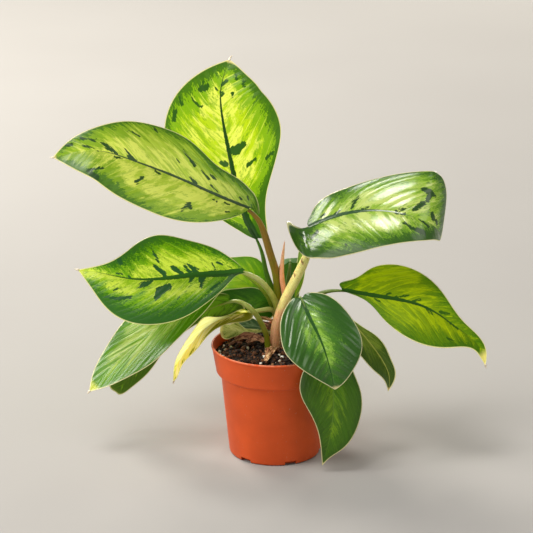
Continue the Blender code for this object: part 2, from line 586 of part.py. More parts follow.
def make_new_leaf():
    """The rolled new leaf: a slim spear that swells above its foot and runs out to a point."""
    pink = finish_material("new_leaf_skin", (0.75, 0.2, 0.1), 0.45)
    radii = np.array([NEW_LEAF.foot_radius, NEW_LEAF_SWELL, 2.6, 2.2, 1.5, NEW_LEAF.top_radius]) * MM
    add_object("new_leaf", *tube_mesh(np.array(NEW_LEAF.route) * MM, radii), pink)


def main():
    clear_scene()
    make_pot()
    feet = [(*stalk.route[0][:2], stalk.foot_radius) for stalk in (CROWN, *LONE_STALKS.values())]
    make_soil(feet)
    forms = make_leaves()
    make_stem(forms)
    make_lone_stalks(forms)
    make_new_leaf()


main()
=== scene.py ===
"""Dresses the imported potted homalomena: leaf blades, stalks, soil and pot, with a floor, lights and a camera.

Every piece is a surface worked out with numpy in the plant's own frame: metres, +Z up, the origin at the
centre of the pot's base, -Y towards the front. The tables are in millimetres and are scaled by MM.
"""

import math
from collections import namedtuple

import bmesh
import bpy
import numpy as np
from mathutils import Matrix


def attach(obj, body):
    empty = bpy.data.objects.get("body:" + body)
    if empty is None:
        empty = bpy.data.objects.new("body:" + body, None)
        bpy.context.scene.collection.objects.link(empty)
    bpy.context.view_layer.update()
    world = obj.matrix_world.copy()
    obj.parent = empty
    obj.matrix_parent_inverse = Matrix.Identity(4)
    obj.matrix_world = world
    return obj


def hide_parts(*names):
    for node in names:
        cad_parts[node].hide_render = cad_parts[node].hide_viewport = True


bl_info = {
    "name": "Potted homalomena",
    "version": (1, 0, 0),
    "blender": (4, 5, 0),
    "location": "View3D > Sidebar > Plant",
    "description": "Builds the leaves, stalks, soil and pot of a potted homalomena",
    "category": "Add Mesh",
}

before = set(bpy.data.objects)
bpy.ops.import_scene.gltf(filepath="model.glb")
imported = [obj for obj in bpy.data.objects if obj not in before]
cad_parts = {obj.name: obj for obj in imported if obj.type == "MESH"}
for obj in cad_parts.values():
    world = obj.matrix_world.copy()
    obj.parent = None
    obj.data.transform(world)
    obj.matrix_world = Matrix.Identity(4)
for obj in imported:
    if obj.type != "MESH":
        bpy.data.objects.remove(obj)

MM = 0.001
CURVE_SAMPLES = 600

# The forms of the blades, as in the part
VEIN_SWEEP = 1.4
ROW_CROWDING = 1.25
COLUMN_CROWDING = 0.9
VEIN_UNEVENNESS = 0.13
WAVE_SIDE_LAG = 2.0
LOBE_REACH = 0.02
JOINT_HALF_WIDTH = 1.1
LAST_ROW = 0.998
CAD_THICKNESS = 0.0008
RIB_SAMPLES = 80

# A blade's midrib is a groove above and a ridge below, and its margin thins to a share of its thickness
GROOVE_WIDTH = 0.9 * MM
GROOVE_DEPTH = 0.35 * MM
RIDGE_WIDTH = 1.3 * MM
RIDGE_HEIGHT = 0.9 * MM
MARGIN_SHARE = 0.35
MARGIN_TAPER = 2 * MM

# Cells of the leaves' colour mosaic for each centimetre along the midrib and across the blade, and how much
# of the place where noise is read is the cell's own
CELLS_ALONG = 9.5
CELLS_ACROSS = 5.5
CELL_SHARE = 0.6

# A leaf's specular level falls from SHINE as its roughness rises to DULL
SHINE = 1.06
SHINE_FALL = 1.6
DULL = 0.5
# The thin margin line's colour: partly the blade's pale edge, partly painted rim light
MARGIN_LINE = (0.82, 0.78, 0.45, 1.0)

# A stalk's groove is an arc of its section, and its ends are rounded
STALK_GROOVE = 0.16
GROOVE_ARC = 0.45
STALK_END = 0.9
NEW_LEAF_GROOVE = 0.12

# A leaf tip's dry point, with its radii in millimetres
SPUR_RADII = (1.2, 1.1, 0.6, 0.12)
SPUR_SIDES = 10
SPUR_SPACING = 0.0004

# The pot and its filling
POT_HEIGHT = 0.1075
COLLAR_BOTTOM = 0.0815
COLLAR_LOW_RADIUS = 0.0558
BODY_TOP_RADIUS = 0.0514
BASE_RADIUS = 0.0435
FLOOR = 0.002
AXIS_RADIUS = 0.0004
POT_SIDES = 192
POT_SHARP_ANGLE = math.radians(38)
NOTCHES = 6
NOTCH_WIDTH = 0.0115
NOTCH_HEIGHTS = (-0.001, 0.004)
NOTCH_REACH = (BASE_RADIUS - 0.0055, BASE_RADIUS + 0.003)
NOTCH_FIRST_ANGLE = math.radians(-130)
SOIL_EDGE_HEIGHT = 0.098
SOIL_MOUND = 0.003
SOIL_LUMP = 0.0009
SOIL_FINE_LUMP = 0.0024
SOIL_CRUMB = 0.0022
SOIL_EDGE_DIP = 0.0012
GAP = 0.0003

# Loose grains on the soil: the smallest and largest radius, the scales of the axes, the seed, how deep a
# grain sinks as a share of its size, and how uneven its corners are
GRAINS = {
    "soil_crumbs": ((0.0005, 0.0029), (1, 0.85, 0.8), 11, 0.3, 0.35),
    "perlite": ((0.0005, 0.0022), (1, 0.9, 0.8), 12, -0.2, 0.3),
    "bark_chips": ((0.0008, 0.0036), (1, 0.42, 0.22), 13, 0.05, 0.4),
}

# The camera, far off and level with the photograph's view
VIEW_ELEVATION = math.radians(19)
VIEW_DISTANCE = 2.6
VIEW_TARGET = (-0.0081, 0.0, 0.184)
VIEW_LENS = 187.9
SENSOR_WIDTH = 36.0

# The studio: half the floor's side, its two tones, and each square soft light's place, side, power and colour
FLOOR_HALF = 6.0
FLOOR_TONES = ((0.33, 0.32, 0.31, 1.0), (0.36, 0.35, 0.34, 1.0))
WORLD_COLOUR = (0.95, 0.97, 1.0, 1.0)
WORLD_STRENGTH = 0.18
LIGHTS = {
    "window": ((-1.3, 1.6, 1.5), 1.1, 80.0, (1.0, 0.95, 0.86)),
    "left_softbox": ((-2.0, -0.55, 1.5), 0.9, 30.0, (1.0, 0.96, 0.89)),
    "overhead": ((-0.5, -0.7, 2.5), 0.8, 34.0, (1.0, 0.97, 0.92)),
    "right_fill": ((1.6, -0.95, 1.25), 1.4, 9.0, (1.0, 0.96, 0.9)),
    "back_low": ((1.1, 3.1, 0.85), 1.3, 74.0, (1.0, 0.95, 0.84)),
    "front_card": ((-1.2, -2.0, 0.7), 1.2, 9.0, (1.0, 0.96, 0.88)),
}

Leaf = namedtuple(
    "Leaf", "rib faces left right left_bend right_bend span wave lobe_shift", defaults=[(0, 0, 0)])
Stalk = namedtuple("Stalk", "route foot_radius top_radius foot_colour top_colour")
Strip = namedtuple("Strip", "route widths twist curl tone")

# Each leaf has its midrib's points from base to tip, the ways its upper face looks along it, the margin
# points of its left and right halves as (along, across), the slopes of each half at midrib and margin in
# degrees, the half width over which that slope turns, its edge wave as (waves, height, phase), and how far
# its lobes are shifted at LOBE_REACH behind the stalk.
LEAVES = {
    "leaf_top": Leaf(
        rib=[(-17, 22, 204), (-27, 28, 222), (-40, 42, 266), (-49, 58, 308), (-51, 72, 336), (-43, 86, 361)],
        faces=[(0.25, -0.92, 0.3), (0.1, -0.85, 0.5), (0.05, -0.9, 0.4)],
        left=[(3, 4), (14, 12), (30, 25), (48, 38), (90, 55), (118, 56), (137, 45), (152, 28), (168, 10)],
        right=[(-3, 7), (8, 15), (38, 26), (74, 44), (99, 53), (114, 52), (132, 46.5), (147, 40.5),
               (160, 32.5), (168, 20), (172, 12)], left_bend=(14, -6), right_bend=(14, -8), span=55,
        wave=(2.5, 1.2, 0.5)),
    "leaf_high_left": Leaf(
        rib=[(-24, -6, 243), (-53, -14, 258), (-91, -24, 279), (-134, -33, 299), (-160, -38, 308),
             (-202, -42, 303)], faces=[(0.35, -0.7, 0.6), (0.2, -0.72, 0.68), (0.05, -0.75, 0.65)],
        left=[(4, 6), (29, 26), (61, 40), (104, 44), (126, 41), (153, 33), (177, 20)],
        right=[(-5, 1.5), (-8.5, 5), (-7, 11), (1, 17), (13, 23), (40, 28), (70, 40), (100, 44), (136, 36),
               (158, 23), (180, 12)], left_bend=(12, -14), right_bend=(10, -16), span=50, wave=(2, 1.2, 1.0),
        lobe_shift=(2, 8, -44)),
    "leaf_left": Leaf(
        rib=[(-30, -6, 181), (-49, -9, 180), (-72, -12, 180), (-108, -15, 177), (-138, -16, 178),
             (-163, -15, 183), (-184, -12, 185)],
        faces=[(0.1, -0.8, 0.58), (0, -0.8, 0.6), (-0.1, -0.8, 0.6)],
        left=[(-2.2, 1), (3.2, 2.1), (10, 5.5), (23, 18), (53, 37), (81, 44), (101, 43), (122, 32),
              (143, 13)],
        right=[(-2.4, 1), (-0.6, 3), (3.6, 8), (9.5, 13.8), (20, 21.6), (46, 33), (74, 42), (106, 32),
               (129, 11)], left_bend=(8, -12), right_bend=(16, -10), span=48, wave=(2, 1.5, 0)),
    "leaf_low_left": Leaf(
        rib=[(-37, 2, 180), (-66, 2, 168), (-106, -6, 131), (-153, -16, 90), (-175, -22, 67)],
        faces=[(-0.15, -0.7, 0.7), (-0.3, -0.65, 0.7), (-0.35, -0.7, 0.6)],
        left=[(5, 8), (19, 18), (47, 26), (83, 27), (115, 27), (145, 21), (165, 13)],
        right=[(5, 9), (25, 18), (45, 24), (76, 31), (117, 29), (144, 19), (169, 9)], left_bend=(10, -12),
        right_bend=(10, -12), span=40, wave=(2, 2, 2.0)),
    "leaf_under_left": Leaf(
        rib=[(-43, 6, 148), (-61, 12, 138), (-98, 22, 110), (-128, 28, 76), (-153, 30, 46)],
        faces=[(-0.3, 0.9, -0.1), (-0.35, 0.85, 0.15), (-0.3, 0.85, 0.3)],
        left=[(-3, 4), (3, 10), (18, 15), (59, 17), (100, 17), (135, 15), (153, 8)],
        right=[(-6, 5), (-10, 10), (-9, 14), (0, 17), (8.2, 17.3), (17.2, 14.7), (26, 11), (40, 9), (60, 9),
               (90, 10), (120, 14), (143, 11), (155, 5)], left_bend=(4, -8), right_bend=(4, -8), span=40,
        wave=(2, 1, 0)),
    "leaf_inner_left": Leaf(
        rib=[(-4, 24, 139), (-19, 22, 144), (-33, 21, 142), (-47, 20, 140), (-57, 20, 137), (-64, 20, 134)],
        faces=[(0.0, -0.9, 0.35), (0.0, -0.9, 0.35)],
        left=[(-6, 6), (-6, 13), (0, 17.5), (12, 17), (28, 14), (42, 14), (55, 11), (61, 4)],
        right=[(6, 5), (14, 10), (25, 12), (38, 13), (49, 11), (56, 5)], left_bend=(6, -6),
        right_bend=(6, -6), span=20, wave=(1, 0, 0)),
    "leaf_yellow": Leaf(
        rib=[(-26, -4, 140), (-50, -6, 134), (-68, -10, 124), (-82, -12, 107), (-91, -12, 93),
             (-96, -10, 72)], faces=[(0.1, -0.9, 0.4), (0.2, -0.9, 0.4), (0.3, -0.9, 0.3)],
        left=[(-4, 3), (-4, 8), (4, 11), (12, 10), (32, 8), (60, 9), (85, 5), (103, 2)],
        right=[(2, 4), (14, 3), (25, 3), (32, 7), (38, 12), (47, 10), (62, 8), (88, 4)], left_bend=(40, 40),
        right_bend=(40, 40), span=14, wave=(1, 0, 0)),
    "leaf_high_right": Leaf(
        rib=[(31, 4, 222), (57, -4, 235), (84, -10, 242), (115, -18, 242), (138, -20, 235), (150, -8, 223),
             (155, 10, 208)],
        faces=[(-0.05, -0.72, 0.7), (0.0, -0.75, 0.66), (0.1, -0.75, 0.6), (0.85, -0.5, 0.1)],
        left=[(-0.5, 2.3), (4.2, 9.3), (8.9, 14.3), (18.3, 20.1), (38, 24.4), (72, 35), (92, 43.5), (109, 50),
              (126, 52.5), (138, 51), (143.5, 43), (145, 30), (148, 14)],
        right=[(-9.5, 1.4), (-14, 2.6), (-18.5, 4.6), (-23, 8), (-26.5, 14), (-28, 22), (-25.5, 29),
               (-18, 31.5), (-9, 32), (1, 34), (12, 38), (28, 40), (76, 37), (109, 24), (130, 13), (148, 7)],
        left_bend=(8, -10), right_bend=(14, -30), span=45, wave=(2, 1.5, 0), lobe_shift=(0.5, -5, 17)),
    "leaf_right": Leaf(
        rib=[(62, -8, 164), (85, -13, 161), (106, -18, 159), (127, -22, 156), (145, -26, 150),
             (170, -32, 134), (190, -36, 117), (196, -37, 99)],
        faces=[(0.2, -0.7, 0.7), (0.3, -0.65, 0.7), (0.45, -0.6, 0.65)],
        left=[(-3, 4), (7, 12), (22, 27), (49, 37), (78, 28), (99, 16), (128, 8), (150, 5)],
        right=[(5, 2), (28, 9), (46, 25), (74, 39), (110, 32), (140, 9), (151, 5)], left_bend=(10, -6),
        right_bend=(10, -12), span=45, wave=(2, 2, 0.7)),
    "leaf_front": Leaf(
        rib=[(24, -40, 167), (31, -50, 153), (38, -58, 141), (45, -66, 126), (51, -71, 106), (55, -73, 89)],
        faces=[(0.0, -0.85, 0.55), (0.05, -0.9, 0.4), (0.1, -0.95, 0.3)],
        left=[(-2, 4), (-1, 12), (6, 23), (31, 34), (60, 35), (79, 20), (89, 7)],
        right=[(-2, 4), (2, 15), (16, 28), (41, 35), (64, 26), (84, 8)], left_bend=(10, -20),
        right_bend=(10, -20), span=42, wave=(2, 1, 0)),
    "leaf_hanging": Leaf(
        rib=[(52, -48, 113), (53, -56, 94), (54, -61, 67), (52, -62, 45), (48, -61, 24), (44, -58, 7)],
        faces=[(0.1, -0.9, 0.4), (0.12, -0.95, 0.2), (0.1, -0.98, 0.1)],
        left=[(-3, 7), (16, 20), (42, 27), (67, 24), (88, 14), (99, 5)],
        right=[(-3, 8), (11, 26), (30, 31), (54, 22), (74, 12), (100, 3)], left_bend=(8, -12),
        right_bend=(8, -12), span=34, wave=(1.5, 1.5, 0)),
    "leaf_low_right": Leaf(
        rib=[(65, -16, 139), (79, -20, 127), (91, -24, 113), (102, -27, 97), (107, -29, 82), (106, -29, 70)],
        faces=[(0.35, -0.7, 0.6), (0.4, -0.8, 0.5), (0.4, -0.85, 0.3)],
        left=[(2, 2), (18, 5), (31, 9), (45, 10), (57, 8), (69, 7), (79, 3)],
        right=[(2, 8), (20, 22), (36, 23), (55, 19), (73, 8), (81, 3)], left_bend=(20, 10),
        right_bend=(30, 20), span=24, wave=(1, 0, 0)),
    "leaf_back_left": Leaf(
        rib=[(-16, 34, 147), (-33, 46, 155), (-57, 60, 158), (-87, 72, 154), (-113, 80, 139)],
        faces=[(0.0, -0.6, 0.8), (-0.1, -0.6, 0.8), (-0.2, -0.6, 0.8)],
        left=[(-6, 5), (2, 16), (25, 28), (60, 29), (97, 15)],
        right=[(-4, 8), (5, 17), (12, 24), (19, 28.3), (26, 28.8), (33.5, 25), (44, 19), (60, 18), (80, 15),
               (100, 8)], left_bend=(8, -6), right_bend=(8, -10), span=36, wave=(1.5, 1.5, 0)),
    "leaf_back": Leaf(
        rib=[(14, 27, 179), (14, 38, 179), (14, 55, 161), (13, 70, 136), (12, 80, 106), (11, 84, 64)],
        faces=[(0, -0.2, 1), (0, 0.7, 0.7), (0, 1, 0.3), (0, 1, 0.2)],
        left=[(-3, 5), (6, 12), (26, 16), (50, 16), (75, 19), (103, 24), (126, 15)],
        right=[(-3, 5), (6, 8), (26, 8), (50, 8), (75, 10), (103, 12), (126, 9)], left_bend=(0, -85),
        right_bend=(4, 0), span=16, wave=(2, 0.3, 0)),
    "leaf_narrow": Leaf(
        rib=[(19, 12, 149), (23.5, 14.5, 166), (25.5, 16.5, 183), (27, 18.5, 196), (29.5, 21.5, 211)],
        faces=[(-0.9, -0.35, 0.2), (-0.9, -0.35, 0.2)], left=[(2, 3), (10, 7), (28, 10), (47, 9), (60, 3)],
        right=[(2, 3), (10, 7), (28, 10), (47, 9), (60, 3)], left_bend=(5, 0), right_bend=(5, 0), span=12,
        wave=(1, 0, 0)),
    "leaf_wilted": Leaf(
        rib=[(-13, 26, 110), (-30, 28, 109), (-43, 26, 110), (-52.4, 22, 111)],
        faces=[(0.0, -0.9, 0.4), (0.1, -0.9, 0.4)],
        left=[(2, 1.5), (9, 2.4), (17, 3.3), (25, 5), (29.5, 6.6), (34, 7.8), (39, 6)],
        right=[(2, 1.5), (9, 2.5), (17.5, 3.4), (21, 6), (23.8, 9.8), (28, 8), (34, 6.7), (39.5, 6)],
        left_bend=(10, -10), right_bend=(20, 20), span=12, wave=(1, 0, 0)),
    "leaf_grey": Leaf(
        rib=[(-10, 30, 112), (-22, 34, 113), (-31, 38, 115), (-38, 42, 115)],
        faces=[(0.0, -0.8, 0.6), (0.0, -0.8, 0.6)], left=[(1, 2), (6, 4), (14, 6), (24, 4)],
        right=[(1, 2), (7, 5), (16, 7), (24, 4)], left_bend=(10, -10), right_bend=(10, -10), span=12,
        wave=(1, 0, 0)),
}

# Each leaf's colours of 0 to 255: bright streaks, body, green mottles, dark margin, dark marks, midrib, tip.
# Then come the widths of its dark margin on the left and right halves and half the width of its dark midrib,
# each at even steps from base to tip, how far the green mottles reach in from the dark margin, the length of
# its pale tip, the depth of its quilting and the gap between lateral veins. Sweep is how far a lateral vein
# runs forward for its way outward, on the left and right halves, and how much more it does so towards the
# margin. Marks are dark strokes on the blade's own plane as (along, across, radius, along, across, radius),
# with across negative on the left half, and glow is the same kind of strokes where the blade stays bright.
# Gloss is the upper side's roughness. Streaks, speckle, vein_light and through are how strong the streaks,
# the speckles, the light veins and the light that comes through are, from 0 to 1, and right_relief scales the
# right half's quilting. All lengths are in millimetres.
Look = namedtuple(
    "Look", "pale body green edge dark rib edge_left edge_right rib_width reach relief vein_gap sweep gloss "
    "seed streaks speckle vein_light through tip tip_length marks glow right_relief",
    defaults=[0.6, 0.5, 0.2, 0.4, (226, 214, 150), 4, (), (), 1.0])

LOOKS = {
    "leaf_top": Look(
        pale=(224, 234, 104), body=(178, 208, 18), green=(120, 168, 8), edge=(70, 116, 10), dark=(44, 88, 20),
        rib=(30, 68, 16), edge_left=(16, 12, 7, 5, 4, 4, 6, 9, 9), edge_right=(20, 18, 13, 8, 8, 11, 9, 8, 8),
        rib_width=(3.8, 3.6, 3.2, 2.7, 2.3, 1.8, 1.1, 0.5, 0), reach=12, relief=0.4, vein_gap=12,
        sweep=(0.8, 0.8, 0.6), gloss=0.34, seed=1, streaks=0.9, speckle=0.6, vein_light=0.8, through=0.5,
        glow=((128, 7, 4, 101, 12, 5), (145, -8, 3, 132, -1, 3), (76, 13, 3, 64, 16, 3),
              (150, 8, 3, 142, 12, 3)),
        marks=((87, 4, 3.5, 90, 15, 3), (84, 5, 2, 84, 9, 2), (151, 1, 2, 155, 4, 2),
               (144, -20, 2.5, 146, -14, 3), (151, -18, 1, 146, -18, 1.5), (146, -5, 1, 143, 0, 1),
               (140, 1, 1, 144, 3, 1), (139, 11, 1, 143, 12, 1), (138, -28, 0.8, 134, -24, 1),
               (134, -24, 1, 130, -19, 1), (128, -44, 2, 122, -46, 2), (78, -10, 2, 75, -5, 2.5),
               (70, 14, 1, 74, 22, 2), (73, 33, 1, 77, 40, 2), (18, -3, 1.5, 16, -1, 1),
               (159, 20, 2, 153, 21, 1.5), (164, 11, 1, 159, 13, 1.5), (139, -40, 1, 133, -37, 1.5))),
    "leaf_high_left": Look(
        pale=(222, 230, 116), body=(168, 194, 62), green=(122, 160, 32), edge=(74, 118, 28),
        dark=(40, 74, 32), rib=(52, 78, 48), edge_left=(1, 1, 2, 3, 4, 6, 9, 6, 4),
        edge_right=(0, 3, 6, 6, 5, 4, 4, 4, 2), rib_width=(1.6, 1.7, 1.7, 1.5, 1.3, 1.0, 0.5, 0, 0), reach=8,
        relief=0.3, vein_gap=12, sweep=(0.8, 1.4, 0.4), gloss=0.3, seed=2, streaks=0.7, speckle=0.4,
        vein_light=0.4, through=0.45,
        glow=((96, 18, 6, 76, 15, 5), (139, 9, 5, 116, 8, 4), (121, -21, 5, 91, -22, 5),
              (62, 12, 5, 22, 8, 5), (66, -14, 5, 26, -11, 5)),
        marks=((132, 27, 1, 121, 25, 0.8), (153, 8, 1, 146, 4, 2), (146, 4, 2, 137, 1, 1.3),
               (169, 12, 1, 158, 10, 1.4), (183, 8, 1.4, 178, 8, 1.5), (168, 5, 1, 155, 0, 0.7),
               (131, 8, 0.8, 125, 3, 1.8), (126, 2, 2.2, 118, 1, 1.4), (139, -3, 1.2, 132, -2, 0.8),
               (167, -21, 1.2, 150, -18, 1.3), (162, -25, 3, 156, -28, 3), (115, -21, 2, 111, -16, 1.6),
               (111, -15, 1, 109, -13, 0.7), (66, -31, 1, 61, -23, 2.2), (60, -21, 1.5, 57, -26, 1.5),
               (65, 5, 0.8, 59, 2, 2), (59, 2, 2.2, 52, -1, 1), (82, 16, 0.7, 79, 14, 0.7),
               (78, 28, 0.7, 72, 23, 1), (72, 23, 1.2, 64, 18, 2), (56, 16, 0.7, 47, 11, 1.4),
               (46, 16, 1, 40, 14, 1.4), (43, 7, 0.7, 36, 3, 1), (38, -7, 1, 34, -7, 1),
               (12, 7, 1, 10, 6, 1.3), (5, 10, 0.7, 3, 7, 0.8), (26, -5, 1, 21, -5, 0.8),
               (23, -14, 0.8, 20, -12, 0.8), (99, -3, 1.4, 94, -4, 1), (108, 39, 1.1, 104, 35, 1))),
    "leaf_left": Look(
        pale=(216, 236, 90), body=(158, 198, 34), green=(100, 156, 4), edge=(58, 114, 16), dark=(40, 88, 46),
        rib=(44, 92, 28), edge_left=(7, 10, 12, 14, 15, 15, 13, 5, 0),
        edge_right=(4, 6, 7, 7, 9, 12, 12, 5, 0), rib_width=(3.2, 3.4, 3.2, 2.8, 2.2, 1.3, 0.7, 0.2, 0),
        reach=9, relief=0.35, vein_gap=10, sweep=(1.0, 0.9, 0.4), gloss=0.34, seed=3,
        glow=((152, 0, 9, 134, 0, 8), (46, 16, 5, 12, 8, 4), (140, -2, 4, 123, -2, 4), (19, 11, 5, 3, 2, 3),
              (74, 21, 6, 56, 9, 5), (121, -11, 6, 105, -11, 5), (97, 7, 4, 40, 8, 3),
              (70, -16, 4, 40, -16, 4)), streaks=0.8, speckle=1, vein_light=0.3, through=0.45,
        tip=(206, 222, 60), tip_length=9,
        marks=((83, -21, 1.5, 79, -12, 4), (79, -12, 4, 71, -9, 3.4), (97, -9, 1.4, 93, -5, 3),
               (93, -5, 3, 85, -2, 1.5), (38, -2, 3.6, 41, -13, 1.2), (51, -6, 1.4, 48, -3, 2),
               (66, 10, 1.6, 57, 3, 2.6), (54, 10, 1, 50, 3, 2), (51, 11, 1, 44, 3, 3),
               (83, 13, 1.2, 77, 7, 2.6), (77, 7, 2.4, 73, 3, 2), (64, -22, 0.8, 62, -20, 0.8),
               (118, -15, 1, 115, -12, 1), (125, -22, 1, 112, -21, 2), (112, -21, 2.2, 104, -18, 1.6),
               (119, 3, 0.8, 114, 3, 0.8), (107, 2, 0.8, 103, 0, 0.8), (121, 17, 2, 117, 13, 2.2),
               (29, 10, 0.7, 26, 4, 1), (24, 11, 1, 19, 9, 1), (31, -15, 1.6, 23, -9, 1),
               (83, 26, 1.5, 78, 16, 1.5))),
    "leaf_low_left": Look(
        pale=(206, 228, 124), body=(118, 170, 16), green=(84, 144, 10), edge=(70, 124, 4), dark=(52, 102, 16),
        rib=(110, 160, 40), edge_left=(2, 2, 2, 1, 1, 1, 1, 1, 1), edge_right=(3, 5, 6, 6, 5, 3, 2, 2, 1),
        rib_width=(0.5, 0.5, 0.4, 0.3, 0.2, 0, 0, 0, 0), reach=9, relief=0.6, vein_gap=28,
        sweep=(5.0, 4.2, 0.8), gloss=0.2, seed=4, streaks=0.75, speckle=0.9, vein_light=0.3, through=0.3,
        tip=(200, 210, 80), tip_length=12, glow=((62, 14, 3, 118, 19, 4), (92, 7, 2, 146, 10, 3))),
    "leaf_under_left": Look(
        pale=(132, 190, 30), body=(66, 102, 12), green=(50, 80, 10), edge=(60, 94, 16), dark=(50, 82, 20),
        rib=(150, 168, 80), edge_left=(3, 3, 3, 3, 3), edge_right=(3, 3, 3, 3, 3),
        rib_width=(0.6, 0.5, 0.4, 0.2, 0), reach=8, relief=0.4, vein_gap=6, sweep=(1.6, 1.6, 0.8), gloss=0.5,
        seed=5, vein_light=0.4, through=0.15, tip=(80, 104, 30), streaks=0.9, glow=((26, 0, 12, 0, 0, 12),)),
    "leaf_inner_left": Look(
        pale=(96, 150, 34), body=(66, 118, 22), green=(48, 96, 18), edge=(40, 88, 14), dark=(34, 78, 18),
        rib=(60, 110, 30), edge_left=(2, 3, 3, 3, 2), edge_right=(2, 3, 3, 3, 2),
        rib_width=(0.5, 0.4, 0.3, 0.2, 0), reach=6, relief=0.2, vein_gap=6, sweep=(1, 1, 0.5), gloss=0.34,
        seed=6, through=0.3),
    "leaf_yellow": Look(
        pale=(255, 255, 232), body=(255, 240, 92), green=(240, 236, 140), edge=(150, 156, 20),
        dark=(150, 156, 30), rib=(250, 234, 120), edge_left=(9, 7, 2, 0, 0), edge_right=(3, 0, 0, 0, 0),
        rib_width=(0, 0, 0, 0, 0), reach=1, relief=0.15, vein_gap=5, sweep=(3, 3, 0.5), gloss=0.45, seed=7,
        streaks=0.8, speckle=0.1, vein_light=0.3, through=0.82, glow=((26, 6, 4, 78, 6, 4),)),
    "leaf_high_right": Look(
        pale=(204, 220, 132), body=(148, 186, 62), green=(100, 146, 34), edge=(62, 104, 30),
        dark=(46, 78, 36), rib=(54, 88, 54), edge_left=(6, 5, 5, 5, 5, 6, 9, 16, 18),
        edge_right=(8, 10, 10, 9, 9, 9, 12, 18, 18), rib_width=(2.1, 2.3, 2.1, 1.7, 1.0, 0.4, 0, 0, 0),
        reach=8, relief=0.4, vein_gap=13, sweep=(0.9, 0.8, 0.6), gloss=0.14, seed=8, right_relief=0.4,
        streaks=0.8, speckle=0.9, vein_light=0.3, through=0.25,
        glow=((30, 12, 8, 80, 14, 6), (60, -12, 6, 110, -14, 5)), tip=(196, 206, 60), tip_length=4,
        marks=((45, -4, 1.2, 48, -9, 2), (48, -9, 2, 52, -14, 0.8), (55, -2, 1, 61, -4, 1),
               (28, -1, 0.8, 34, -5, 1), (14, -4, 0.8, 19, -5, 0.8), (105, -28.5, 2.2, 113, -28, 3.6),
               (113, -26, 3, 112, -20, 2.6), (114, -28, 2.6, 122, -27, 1.6), (102, -7, 2.2, 109, -15, 2.8),
               (129, -6, 2, 133, -4, 1.6), (87, -2, 0.8, 94, -5, 1.1), (87, 1, 0.8, 95, 0, 1.1),
               (97, 9, 1.1, 103, 11, 1.6), (121, -10, 2.4, 124, -7, 3), (109, 1, 1.1, 119, 4, 1.8),
               (-10, 8.5, 1.6, -5, 12, 1.6), (2, 14, 1.6, 8.7, 10, 2), (4, 18, 1, 8, 17, 1.4),
               (106, 12, 1.8, 115, 12, 2.8), (35, 30, 1.5, 37, 32, 1.5))),
    "leaf_right": Look(
        pale=(188, 212, 0), body=(128, 158, 0), green=(90, 130, 2), edge=(70, 114, 4), dark=(50, 92, 12),
        rib=(40, 82, 18), edge_left=(2, 2, 1, 1, 2, 3, 3, 4, 4), edge_right=(3, 3, 2, 2, 2, 3, 5, 6, 5),
        rib_width=(1.6, 2.2, 2.4, 2.1, 1.7, 1.1, 0.5, 0, 0), reach=7, relief=0.4, vein_gap=12,
        sweep=(1.0, 1.0, 0.9), gloss=0.68, seed=9, streaks=0.5, speckle=0.6, vein_light=0.6, through=0.5,
        # The glow strokes here are painted light: the bright band along the upper margin where light comes
        # through
        tip=(226, 218, 140), tip_length=17, glow=((18, -19, 8, 34, -28, 11), (34, -28, 11, 60, -31, 9)),
        marks=((33, 4, 0.8, 38, 6, 1.3), (42, -2, 1, 46, -5, 1.3), (68, -1, 1.4, 74, -5, 1.2),
               (82, 1, 1.2, 88, 4, 1.4), (57, -4, 1.2, 62, -6, 1.2), (95, -3, 1.5, 102, -7, 1.3),
               (49, -1, 0.8, 56, -4, 1), (112, 18, 1, 120, 15, 1), (104, 0, 0.8, 116, 1, 1),
               (90, 0, 0.7, 96, 1, 0.8))),
    "leaf_front": Look(
        pale=(150, 196, 70), body=(98, 146, 42), green=(64, 116, 28), edge=(58, 104, 28), dark=(38, 84, 24),
        rib=(40, 86, 26), edge_left=(10, 14, 19, 21, 19, 12, 5), edge_right=(10, 14, 19, 21, 19, 12, 5),
        rib_width=(1.9, 1.9, 1.2, 0.6, 0.2), reach=7, relief=1.3, vein_gap=11, sweep=(0.8, 0.8, 0.5),
        gloss=0.21, seed=10, streaks=0.8, speckle=0.9, vein_light=0.15, through=0.12,
        glow=((20, -3, 3, 34, -3, 3), (47, -2, 4, 65, -2, 3), (30, 9, 2, 44, 12, 2))),
    "leaf_hanging": Look(
        pale=(128, 168, 20), body=(84, 132, 0), green=(62, 108, 0), edge=(54, 96, 2), dark=(44, 82, 10),
        rib=(96, 138, 40), edge_left=(4, 5, 5, 4, 3), edge_right=(4, 5, 5, 4, 3),
        rib_width=(0.8, 0.7, 0.5, 0.3, 0), reach=12, relief=0.6, vein_gap=7, sweep=(1.2, 1.2, 1.2),
        gloss=0.32, seed=11, through=0.25),
    "leaf_low_right": Look(
        pale=(122, 142, 48), body=(82, 108, 26), green=(64, 90, 14), edge=(56, 84, 8), dark=(50, 76, 16),
        rib=(150, 156, 76), edge_left=(3, 3, 3, 3, 2), edge_right=(4, 5, 5, 4, 2),
        rib_width=(0.9, 0.9, 0.8, 0.6, 0.3), reach=6, relief=0.5, vein_gap=9, sweep=(3.0, 1.6, 0.8),
        gloss=0.34, seed=12, through=0.2, vein_light=0.35, tip=(196, 160, 96), tip_length=5, streaks=0.8,
        glow=((8, -3, 3, 40, -6, 3),)),
    "leaf_back_left": Look(
        pale=(176, 204, 50), body=(130, 180, 4), green=(92, 150, 2), edge=(80, 132, 4), dark=(62, 112, 14),
        rib=(110, 160, 40), edge_left=(2, 2, 2, 2, 2), edge_right=(2, 3, 3, 3, 2),
        rib_width=(0.5, 0.4, 0.3, 0.2, 0), reach=7, relief=0.2, vein_gap=8, sweep=(1, 1, 0.5), gloss=0.36,
        seed=13),
    "leaf_back": Look(
        pale=(92, 136, 50), body=(66, 110, 34), green=(50, 92, 28), edge=(46, 88, 20), dark=(40, 78, 26),
